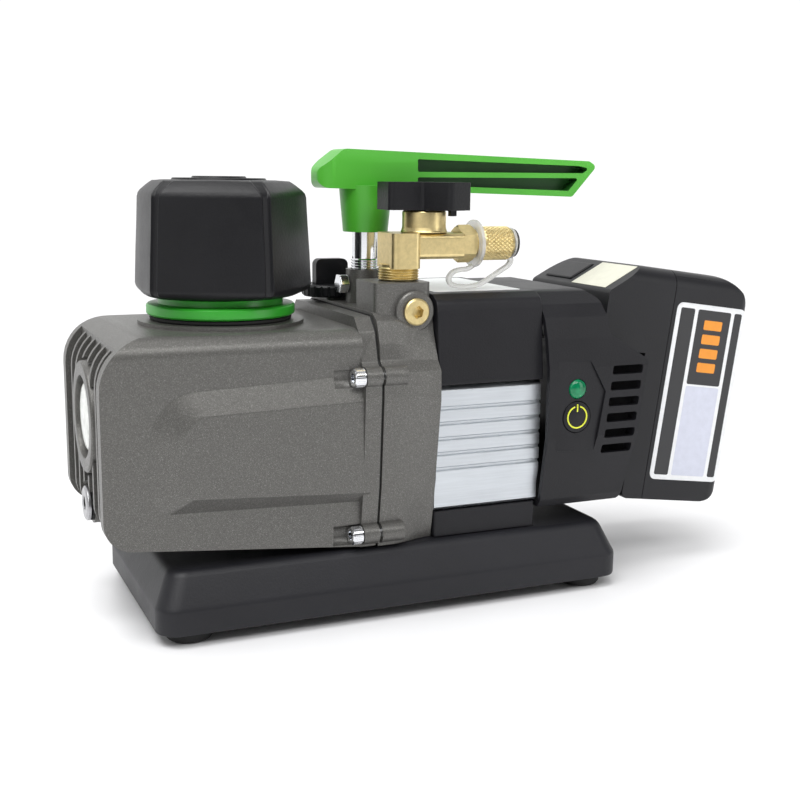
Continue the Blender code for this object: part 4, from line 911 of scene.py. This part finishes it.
def valve():
    centre = (VALVE_X, VALVE_Y, 0.0)
    stub = [(0.0, 145.0), (7.5, 145.0), (7.5, 153.3)]
    stub += thread(153.3, 1.2, 5, [(8.9, 0.0), (9.5, 0.5), (9.5, 0.7), (8.9, 1.2)])
    stub += [(8.9, 160.5), (0.0, 160.5)]
    bonnet_place = (BONNET_X, VALVE_Y, 0.0)
    along = (0.0, VALVE_Y, VALVE_Z)
    steps = [
        (ADD, prism(rectangle(-1.3, VALVE_Y - 11.0, 12.8, VALVE_Y + 11.0, 3.0), "Z", 159.0, 175.0)),
        (ADD, prism(rectangle(VALVE_Y - 9.6, 163.0, VALVE_Y + 9.6, 174.8, 2.6), "X", 6.0, 35.0)),
        (CUT, cylinder(4.0, 140.0, VALVE_Z, "Z", centre, 40)),
        (CUT, cylinder(3.4, VALVE_X - 2.0, 40.0, "X", along, 40)),
        (CUT, cylinder(5.2, 164.2, 180.0, "Z", bonnet_place, 48)),
        (CUT, cylinder(5.0, 28.5, 40.0, "X", along, 48)),
    ]
    body = combined(turned(stub, "Z", centre, 72), steps)
    piece("valve_casting", body, "brass", MAIN, ("inlet_valve_body",), 0.6, 3, 40.0)
    bonnet = [
        (2.68, 175.3), (11.2, 175.1), (10.6, 175.9), (10.2, 177.4), (10.2, 184.4),
        (9.6, 185.0), (2.68, 185.0),
    ]
    solid = turned(soft_profile(bonnet, 0.5), "Z", bonnet_place)
    piece("bonnet", solid, "brass", MAIN, ("valve_bonnet",), 0.0)
    reach = 21.0
    half = 8.5
    hub = half / math.sin(math.radians(60))
    middle = Vector((BONNET_X, VALVE_Y))
    points = []
    for angle in (60, 180, 300):
        turn = Matrix.Rotation(math.radians(angle), 2)
        points.append(tuple(middle + turn @ Vector((reach, -half))))
        points.append(tuple(middle + turn @ Vector((reach, half))))
        points.append(tuple(middle + Matrix.Rotation(math.radians(angle + 60), 2) @ Vector((hub, 0.0))))
    outline = rounded(points, [2.6, 2.6, 2.0] * 3, 8)
    tab_x = BONNET_X + 10.8
    tab_y = VALVE_Y - 7.6
    knob = combined(
        prism(outline, "Z", 185.4, 198.0),
        [
            (ADD, box((tab_x - 1.5, tab_y - 1.5, 182.6), (tab_x + 1.5, tab_y + 1.5, 190.0))),
            (CUT, cylinder(2.9, 180.0, 194.3, "Z", bonnet_place, 40)),
            (CUT, ring(4.5, 7.4, 197.2, 199.0, "Z", bonnet_place, 64)),
        ],
    )
    spindle = "inlet_valve_spindle"
    piece("valve_knob_shell", knob, "cap", spindle, ("inlet_valve_knob",), 0.9, 3, 40.0)


def knurled_cap(centre):
    """The flare cap, with crossed helical grooves cut as height in its wall."""
    steps = 180
    crossing = 26
    low_x = 48.2
    high_x = 61.6
    rows = []
    for radius, x in ((0.0, 60.9), (7.0, 60.9), (7.0, 47.0), (7.5, 47.0), (7.8, 47.5)):
        rows.append(("plain", radius, x))
    span = 56
    for step in range(span + 1):
        rows.append(("knurl", 8.0, low_x + (high_x - low_x) * step / span))
    end = (
        (7.7, 62.3), (7.1, 63.2), (5.6, 63.3), (5.6, 65.2), (5.2, 65.9), (3.9, 66.4),
        (2.0, 66.6), (0.0, 66.65),
    )
    for radius, x in end:
        rows.append(("plain", radius, x))
    solid = bmesh.new()
    rings = []
    for kind, radius, x in rows:
        if radius < ON_AXIS:
            rings.append([solid.verts.new((x, centre[1], centre[2]))])
            continue
        row = []
        for step in range(steps):
            angle = 2 * math.pi * step / steps
            r = radius
            if kind == "knurl":
                travel = (x - low_x) / (high_x - low_x) * 2 * math.pi * 0.22
                one = abs(math.sin(crossing / 2 * (angle + travel)))
                two = abs(math.sin(crossing / 2 * (angle - travel)))
                r -= 0.6 * (1.0 - min(1.0, 1.9 * min(one, two)))
            y = centre[1] + r * math.cos(angle)
            z = centre[2] + r * math.sin(angle)
            row.append(solid.verts.new((x, y, z)))
        rings.append(row)
    for lower, upper in zip(rings, rings[1:]):
        join_rows(solid, lower, upper, steps)
    piece("knurled_cap", facing_out(solid), "brass", "flare_cap_body", ("flare_cap",), 0.0)
    band = turned(soft_profile([(5.3, 64.9), (6.7, 64.9), (6.7, 66.1), (4.7, 66.1)], 0.35), "X", centre)
    piece("end_band", band, "rubber", "flare_cap_body", (), 0.0)


def flare():
    centre = (0.0, VALVE_Y, VALVE_Z)
    shape = [(3.0, 29.0), (4.7, 29.0), (4.7, 35.3), (7.6, 35.3), (7.6, 43.0)]
    shape += thread(43.4, 1.4, 9, [(6.2, 0.0), (6.7, 0.5), (6.7, 0.9), (6.2, 1.4)])
    shape += [(6.2, 56.4), (4.6, 59.4), (3.0, 59.4)]
    chamfered = [(0.0, 35.3), (7.9, 35.3), (9.0, 36.3), (9.0, 42.0), (7.9, 43.0), (0.0, 43.0)]
    nut = combined(
        prism(hexagon(15.4, (VALVE_Y, VALVE_Z), math.pi / 2), "X", 35.3, 43.0),
        [(KEEP, turned(chamfered, "X", centre))],
    )
    solid = combined(
        turned(shape, "X", centre, 72),
        [(ADD, nut), (CUT, cylinder(3.0, 20.0, 70.0, "X", centre, 40))],
    )
    piece("flare_nipple", solid, "brass", MAIN, ("flare_fitting",), 0.3, 2, 35.0)
    knurled_cap(centre)
    strap(centre)


def smooth_path(points, steps=6):
    """The points joined by a Catmull-Rom curve."""
    path = [Vector(point) for point in points]
    out = []
    for index in range(len(path) - 1):
        before = path[max(index - 1, 0)]
        after = path[min(index + 2, len(path) - 1)]
        for step in range(steps):
            t = step / steps
            a = 2 * path[index]
            b = path[index + 1] - before
            c = 2 * before - 5 * path[index] + 4 * path[index + 1] - after
            d = -before + 3 * path[index] - 3 * path[index + 1] + after
            out.append((a + b * t + c * t * t + d * t**3) * 0.5)
    out.append(path[-1])
    return out


def strap(centre):
    route = [
        (44.6, -10.2), (41.5, -11.9), (38.0, -12.2), (34.2, -13.2), (31.8, -15.8),
        (32.6, -18.6), (36.5, -20.0), (42.5, -20.3), (48.5, -19.2), (54.0, -16.3),
        (59.2, -13.2), (62.9, -11.0), (64.6, -8.8), (64.4, -6.7),
    ]
    path = smooth_path(route)
    section = rectangle(-1.1, -1.5, 1.1, 1.5, 0.7, 3)
    rings = []
    for index, point in enumerate(path):
        before = path[max(index - 1, 0)]
        after = path[min(index + 1, len(path) - 1)]
        along = (after - before).normalized()
        side = Vector((-along.y, along.x))
        level = []
        for across, deep in section:
            height = centre[2] + point.y + side.y * across
            level.append((point.x + side.x * across, centre[1] + deep, height))
        rings.append(level)
    eye = soft_profile([(7.1, 43.6), (11.2, 43.6), (11.2, 45.6), (7.1, 45.6)], 0.6)
    end = soft_profile([(5.9, 63.6), (7.2, 63.6), (7.2, 64.8), (5.9, 64.8)], 0.3)
    steps = [(ADD, turned(eye, "X", centre)), (ADD, turned(end, "X", centre))]
    solid = combined(loft(rings), steps)
    obj = piece("strap", solid, "clear", None, ("cap_tether",), 0.0)
    height = centre[2] * MM
    end = ((63.0 - CENTRE_X) * MM, centre[1] * MM, height)
    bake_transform(obj)


# ---- carrying handle --------------------------------------------------------------------------


def handle():
    centre = (POST_X, HANDLE_Y, 0.0)
    post = [(0.0, 143.4), (6.4, 143.4), (6.4, 152.0)]
    post += thread(152.0, 1.3, 7, [(6.95, 0.45), (6.95, 0.65), (6.35, 1.3)])
    post += [(6.4, 161.6), (6.4, 198.4), (5.8, 199.0), (0.0, 199.0)]
    piece("handle_rod", turned(post, "Z", centre), "chrome", MAIN, ("handle_post",), 0.0)
    outline = [
        (-23.2, 194.7), (49.0, 193.0), (113.0, 191.0), (127.0, 206.4), (123.0, 209.0),
        (-11.5, 213.0), (-24.2, 203.0),
    ]
    shape = rounded(outline, [5.0, 0.0, 2.5, 2.0, 2.5, 6.0, 5.0])
    low = HANDLE_Y - 9.3
    high = HANDLE_Y + 9.3
    plan = rounded([(-24.4, low), (130.0, low), (130.0, high), (-24.4, high)], [8.5, 0.0, 0.0, 8.5], 16)
    side = [(low - 2.7, 194.7), (HANDLE_Y - 7.6, 214.0), (HANDLE_Y + 7.6, 214.0), (high + 2.7, 194.7)]
    end = [(low - 2.7, 185.0)] + side + [(high + 2.7, 185.0)]
    steps = [
        (KEEP, prism(plan, "Z", 180.0, 220.0)),
        (KEEP, prism(end, "X", -40.0, 140.0)),
        (ADD, turned([(0.0, 174.0), (10.9, 174.0), (12.9, 196.0), (0.0, 196.0)], "Z", centre)),
        (CUT, cylinder(6.7, 170.0, 199.4, "Z", centre, 48)),
    ]
    upper = [(26.0, 202.6), (119.0, 202.9), (122.6, 205.4), (116.0, 206.5), (26.0, 208.6)]
    lower = [(26.0, 196.4), (110.6, 194.0), (116.6, 200.4), (26.0, 200.0)]
    for slot in (rounded(upper, 0.8, 3), rounded(lower, 0.8, 3)):
        for near, far in both_sides(2.2, 14.0):
            steps.append((CUT, prism(slot, "Y", HANDLE_Y + near, HANDLE_Y + far)))
    solid = combined(prism(shape, "Y", low - 2.0, high + 2.0), steps)
    grip = piece("grip", solid, "green", MAIN, ("carry_handle",), 1.0, 4, 30.0)
    # The faces inside the slots get the darker green: painted shade where the slots lie in shadow.
    grip.data.materials.append(MAT["dark_green"])
    for face in grip.data.polygons:
        x = face.center.x / MM + CENTRE_X
        depth = abs(face.center.y / MM - HANDLE_Y)
        z = face.center.z / MM
        if 25.0 < x < 123.0 and depth < 8.8 and 210.2 - x * 0.034 > z > 195.6 - x * 0.017:
            face.material_index = 1


# ---- motor ------------------------------------------------------------------------------------


def motor():
    half = 48.0
    points = [(half - 3.4, 45.4), (half - 1.5, 47.2), (half - 1.5, 55.1), (half, 61.8)]
    for number in range(5):
        low = 65.0 + number * 7.2
        points += [(half, low), (half - 1.1, low + 0.5), (half - 1.1, low + 1.5), (half, low + 2.0)]
    points += [(half, 103.2), (half - 2.4, 105.6)]
    steps = [(CUT, cylinder(26.8, 0.0, 90.0, "X", (0.0, 0.0, AXIS_Z)))]
    for low, high in both_sides(29.5, 43.6):
        steps.append((CUT, prism(rectangle(low, 50.0, high, 101.0, 3.0), "X", 0.0, 90.0)))
    casing = combined(prism(mirrored(points), "X", 17.4, 72.6), steps)
    piece("motor_extrusion", casing, "aluminium", MAIN, ("motor_casing",), 0.25, 2, 25.0)
    outer = [(50.0, 106.0), (48.5, 119.4), (46.6, 140.0), (45.4, 144.4), (40.0, 147.5)]
    inner = [(47.2, 100.0), (46.0, 119.0), (43.8, 139.0), (39.0, 144.7)]
    cover = combined(
        prism(mirrored(rounded_open(outer, 4.0)), "X", 17.6, 72.6),
        [(CUT, prism(mirrored(inner), "X", 20.2, 90.0))],
    )
    piece("cover_shell", cover, "black", MAIN, ("motor_top_cover",), 0.6, 3, 28.0)
    saddle = combined(
        prism(rectangle(17.6, -46.5, 72.0, 46.5, 1.5), "Z", 32.7, 45.1),
        [(CUT, prism(rectangle(21.0, -43.0, 68.6, 43.0, 1.5), "Z", 20.0, 41.6))],
    )
    piece("saddle_block", saddle, "black", MAIN, ("motor_saddle",), 0.6, 2, 30.0)
    sticker = prism(rectangle(22.0, -34.0, 68.0, 34.0, 2.0), "Z", 147.45, 147.7)
    piece("cover_sticker", sticker, "white", MAIN, (), 0.08, 1)


# ---- rear housing -----------------------------------------------------------------------------

REAR_WALL = 2.6


def rear_side(inset):
    left = 73.0 if inset == 0 else 68.0
    points = [
        (left, 42.3 + inset), (119.3 - inset, 42.3 + inset),
        (129.1 - inset, 113.5 - inset * 0.5), (108.3 - inset, 126.3 - inset),
        (107.3 - inset, 142.6 - inset), (101.0 - inset, 147.3 - inset),
        (left, 147.3 - inset),
    ]
    return rounded(points, [0.0, 2.0, 2.0, 3.0, 4.0, 5.0, 0.0], 5)


def rear_end(inset):
    half = [
        (47.4, 42.0), (49.9, 46.3), (55.3, 77.4), (54.9, 111.2), (52.1, 125.1),
        (48.6, 135.2), (43.6, 140.9), (36.6, 146.4), (28.6, 149.0),
    ]
    return mirrored(rounded_open([(y - inset, z) for y, z in half], 4.0))


def rear_housing():
    inner = [(KEEP, prism(rear_end(REAR_WALL), "X", 60.0, 140.0))]
    core = combined(prism(rear_side(REAR_WALL), "Y", -60.0, 60.0), inner)
    steps = [(KEEP, prism(rear_end(0.0), "X", 60.0, 140.0)), (CUT, core)]
    panel = rounded([(77.6, 71.3), (99.5, 69.2), (104.7, 99.0), (96.0, 114.2), (77.6, 115.1)], 1.5, 5)
    steps.append((CUT, prism(panel, "Y", -60.0, -54.0)))
    for low, high in both_sides(49.0, 60.0):
        for number in range(6):
            x = 104.1 + number * 0.86
            z = 70.1 + number * 7.8
            corners = [(x - 0.3, z - 2.2), (x + 17.0, z - 2.2), (x + 17.6, z + 2.2), (x + 0.3, z + 2.2)]
            steps.append((CUT, prism(rounded(corners, 1.1, 4), "Y", low, high)))
    steps.append((CUT, cylinder(7.9, -60.0, -48.0, "Y", (BUTTON_X, 0.0, BUTTON_Z), 64)))
    steps.append((CUT, cylinder(4.9, -60.0, -48.0, "Y", (BUTTON_X, 0.0, LED_Z), 64)))
    solid = combined(prism(rear_side(0.0), "Y", -60.0, 60.0), steps)
    piece("rear_shell", solid, "black", MAIN, ("rear_housing",), 0.45, 2, 26.0)


def controls():
    button = [
        (0.0, -54.5), (6.9, -54.5), (7.4, -54.3), (7.6, -53.9), (7.6, -52.0), (8.2, -52.0),
        (8.2, -51.0), (0.0, -51.0),
    ]
    place = (BUTTON_X, 0.0, BUTTON_Z)
    body = "power_switch"
    piece("button_cap", turned(button, "Y", place), "black", body, ("power_button",), 0.0)
    rings = []
    for angle in arc_angles(90.0 + SYMBOL_GAP, 450.0 - SYMBOL_GAP, 60):
        level = []
        for radius, y in ((4.9, -54.45), (4.9, -54.75), (5.6, -54.75), (5.6, -54.45)):
            level.append((BUTTON_X + radius * math.cos(angle), y, BUTTON_Z + radius * math.sin(angle)))
        rings.append(level)
    piece("symbol_ring", loft(rings), "yellow", body, (), 0.0)
    bar = box((BUTTON_X - 0.35, -54.75, BUTTON_Z + 2.6), (BUTTON_X + 0.35, -54.45, BUTTON_Z + 6.3))
    piece("symbol_bar", bar, "yellow", body, (), 0.1, 2)
    dome = [(4.6 * math.cos(a), -53.9 - 2.0 * math.sin(a)) for a in arc_angles(0.0, 90.0, 10)]
    dome[-1] = (0.0, dome[-1][1])
    lamp = [(0.0, -51.0), (5.2, -51.0), (5.2, -52.0), (4.6, -52.0)] + dome
    solid = turned(lamp, "Y", (BUTTON_X, 0.0, LED_Z))
    piece("lamp_dome", solid, "lamp", MAIN, ("led_lens",), 0.0)


# ---- battery ----------------------------------------------------------------------------------

SLOPE_ALONG = Vector((0.8144, 0.5806))
SLOPE_OUT = Vector((-0.5806, 0.8144))
SLOPE_MIDDLE = Vector((-7.3, 111.8))
PACK_HALF = 38.0
PACK_TOP = 119.0
PACK_BACK = 72.5
PACK_WALL = 2.6


def slope_box(start, end, low, high):
    """A rectangle on the nose's sloping face, by its span along it and its heights off it."""
    corners = []
    for along, out in ((start, low), (end, low), (end, high), (start, high)):
        corners.append(tuple(SLOPE_MIDDLE + SLOPE_ALONG * along + SLOPE_OUT * out))
    return corners


def battery():
    profile = [(9.5, 0.0), (22.0, 0.0), (22.0, PACK_TOP), (2.8, PACK_TOP), (-17.4, 104.6)]
    profile += [(-17.4, 83.2), (0.0, 75.6), (9.5, 75.6)]
    outline = rounded(profile, [3.0, 0.0, 0.0, 4.0, 3.0, 2.0, 0.0, 0.0], 6)
    end = rectangle(-PACK_HALF, -20.0, PACK_HALF, PACK_TOP, 9.0)
    steps = [
        (KEEP, prism(end, "X", -40.0, 40.0)),
        (CUT, box((0.0, -15.6, -5.0), (12.7, 15.6, 92.0))),
        (CUT, box((12.4, -20.6, -5.0), (17.4, 20.6, 92.0))),
        (CUT, box((5.0, -20.8, -8.0), (14.0, 20.8, 43.0))),
        (CUT, prism(slope_box(-8.0, 8.0, -6.2, 5.0), "Y", 5.0, 31.0)),
    ]
    shell = combined(prism(outline, "Y", -PACK_HALF, PACK_HALF), steps)
    piece("pack_shell", shell, "battery", PACK, ("battery_shell",), 1.0, 3, 28.0, tilt=True)
    side = rectangle(22.3, 0.0, PACK_BACK, PACK_TOP, [0.0, 14.0, 30.0, 0.0], 14)
    plan = rectangle(10.0, -PACK_HALF, PACK_BACK, PACK_HALF, [0.0, 9.0, 9.0, 0.0])
    across = rectangle(-PACK_HALF, -20.0, PACK_HALF, PACK_TOP, 9.0)
    corners = [0.0, 11.0, 27.0, 0.0]
    room = rectangle(15.0, PACK_WALL, PACK_BACK - PACK_WALL, PACK_TOP - PACK_WALL, corners, 6)
    steps = [
        (KEEP, prism(plan, "Z", -20.0, 140.0)),
        (KEEP, prism(across, "X", 0.0, 100.0)),
        (CUT, prism(room, "Y", -PACK_HALF + PACK_WALL, PACK_HALF - PACK_WALL)),
        (CUT, prism(rectangle(24.6, 10.4, 69.6, 104.0, 4.0), "Y", -50.0, -37.4)),
    ]
    cover = combined(prism(side, "Y", -PACK_HALF, PACK_HALF), steps)
    piece("pack_cover", cover, "battery", PACK, ("battery_cover",), 0.9, 3, 28.0, tilt=True)
    button = prism(slope_box(-7.7, 7.7, -3.2, 0.9), "Y", 5.3, 30.7)
    latch = "battery_latch"
    piece("latch_pad", button, "battery", latch, ("battery_latch_button",), 0.8, 3, 30.0, tilt=True)
    cream = prism(slope_box(-10.6, 10.8, -0.2, 0.25), "Y", -31.0, 0.5)
    piece("nose_panel", cream, "cream", PACK, (), 0.1, 1, tilt=True)
    label()


def flat_label(name, low_w, low_u, high_w, high_u, material, lift, radius=1.0):
    """A thin printed film on the pack's near side."""
    outline = rectangle(low_w, low_u, high_w, high_u, radius, 5)
    solid = prism(outline, "Y", -37.45 - lift, -37.35)
    piece(name, solid, material, PACK, (), 0.0, tilt=True)


def label():
    flat_label("label_border", 25.0, 10.8, 69.2, 103.6, "white", 0.06, 3.6)
    flat_label("label_left_strip", 27.6, 13.4, 36.4, 101.0, "ink", 0.12)
    flat_label("label_right_strip", 62.0, 13.4, 66.8, 101.0, "ink", 0.12)
    flat_label("label_upper_panel", 38.6, 62.0, 59.8, 101.0, "ink", 0.12)
    flat_label("label_lower_panel", 38.6, 13.4, 59.8, 61.0, "pale", 0.12)
    for number in range(4):
        low = 68.6 + number * 7.4
        flat_label("charge_bar_%d" % (number + 1), 43.4, low, 55.0, low + 5.0, "orange", 0.18, 0.8)


# ---- pieces carried over from the CAD ---------------------------------------------------------

CARRIED = {
    "rubber": ("tank_gasket", "drain_seal", "cap_seal", "shaft_seal", "flare_cap_seal"),
    "paper": ("exhaust_filter",),
    "iron": ("pump_cylinder", "pump_end_cover"),
    "steel": ("pump_rotor", "coupling", "valve_stem", "motor_rotor", "front_bearing", "rear_bearing"),
    "carbon": ("vane_1", "vane_2"),
    "chrome": ("valve_ball",),
    "windings": ("motor_stator",),
    "black": ("cooling_fan", "battery_terminal_block"),
    "board": ("control_board", "switch_board"),
    "cells": ("battery_cell_pack",),
}


def carried_over():
    for material, nodes in CARRIED.items():
        for node in nodes:
            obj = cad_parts[node]
            obj.data.materials.clear()
            obj.data.materials.append(MAT[material])


# ---- studio -----------------------------------------------------------------------------------


def area_light(name, place, aim, size, power, colour=(1.0, 1.0, 1.0)):
    light = bpy.data.lights.new(name, "AREA")
    light.shape = "RECTANGLE"
    light.size = size[0]
    light.size_y = size[1]
    light.energy = power
    light.color = colour
    obj = bpy.data.objects.new(name, light)
    obj.location = place
    obj.rotation_euler = (Vector(aim) - Vector(place)).to_track_quat("-Z", "Y").to_euler()
    bpy.context.scene.collection.objects.link(obj)


def studio():
    floor_mesh = bmesh.new()
    reach = 6.0
    corners = [(-reach, -reach, 0.0), (reach, -reach, 0.0), (reach, reach, 0.0), (-reach, reach, 0.0)]
    floor_mesh.faces.new([floor_mesh.verts.new(corner) for corner in corners])
    floor = as_object("floor", floor_mesh)
    floor.data.materials.append(moulded("pale_floor", (0.86, 0.86, 0.87), 0.32, 60.0, 0.02, 0.01))
    world = bpy.data.worlds.new("studio")
    world.use_nodes = True
    tree = world.node_tree
    place = tree.nodes.new("ShaderNodeTexCoord")
    axes = tree.nodes.new("ShaderNodeSeparateXYZ")
    tree.links.new(place.outputs["Generated"], axes.inputs["Vector"])
    glow = tree.nodes.new("ShaderNodeMapRange")
    glow.interpolation_type = "SMOOTHSTEP"
    set_inputs(glow, From_Min=-0.5, From_Max=0.6, To_Min=0.12, To_Max=1.05)
    tree.links.new(axes.outputs["Y"], glow.inputs["Value"])
    background = tree.nodes["Background"]
    set_inputs(background, Color=(1.0, 1.0, 1.0, 1.0))
    tree.links.new(glow.outputs["Result"], background.inputs["Strength"])
    bpy.context.scene.world = world
    sun = bpy.data.lights.new("sky_panel", "SUN")
    sun.energy = 2.2
    sun.angle = math.radians(40)
    sky = bpy.data.objects.new("sky_panel", sun)
    sky.rotation_euler = Vector((0.3, 0.12, -1.0)).to_track_quat("-Z", "Y").to_euler()
    bpy.context.scene.collection.objects.link(sky)
    centre = (0.0, 0.0, 0.1)
    area_light("front_light", (-0.15, -1.0, 1.15), centre, (1.5, 0.45), 11.0)
    area_light("left_light", (-1.1, -0.8, 0.75), centre, (0.8, 1.0), 2.5)
    area_light("right_light", (1.0, -1.0, 0.5), centre, (0.5, 0.9), 3.0)
    bpy.context.scene.view_settings.view_transform = "Standard"


def camera():
    """The camera looks along the pump's near side from its sight-glass end, a little downwards."""
    data = bpy.data.cameras.new("camera")
    data.sensor_width = 36.0
    data.lens = 53.624
    data.shift_x = 0.00785
    data.shift_y = 0.00078
    data.clip_end = 50.0
    obj = bpy.data.objects.new("camera", data)
    yaw = math.radians(23.574)
    pitch = math.radians(10.714)
    roll = math.radians(0.630)
    ahead = math.cos(pitch)
    forward = Vector((math.sin(yaw) * ahead, math.cos(yaw) * ahead, -math.sin(pitch)))
    level = Vector((math.cos(yaw), -math.sin(yaw), 0.0))
    above = level.cross(forward)
    right = level * math.cos(roll) + above * math.sin(roll)
    up = above * math.cos(roll) - level * math.sin(roll)
    turn = Matrix((right, up, -forward)).transposed().to_4x4()
    obj.matrix_world = Matrix.Translation((-0.250838, -0.535529, 0.200928)) @ turn
    bpy.context.scene.collection.objects.link(obj)
    bpy.context.scene.camera = obj


base()
tank()
drain()
filler()
exhaust_cap()
housing()
fittings()
valve()
flare()
handle()
motor()
rear_housing()
controls()
battery()
carried_over()
studio()
camera()
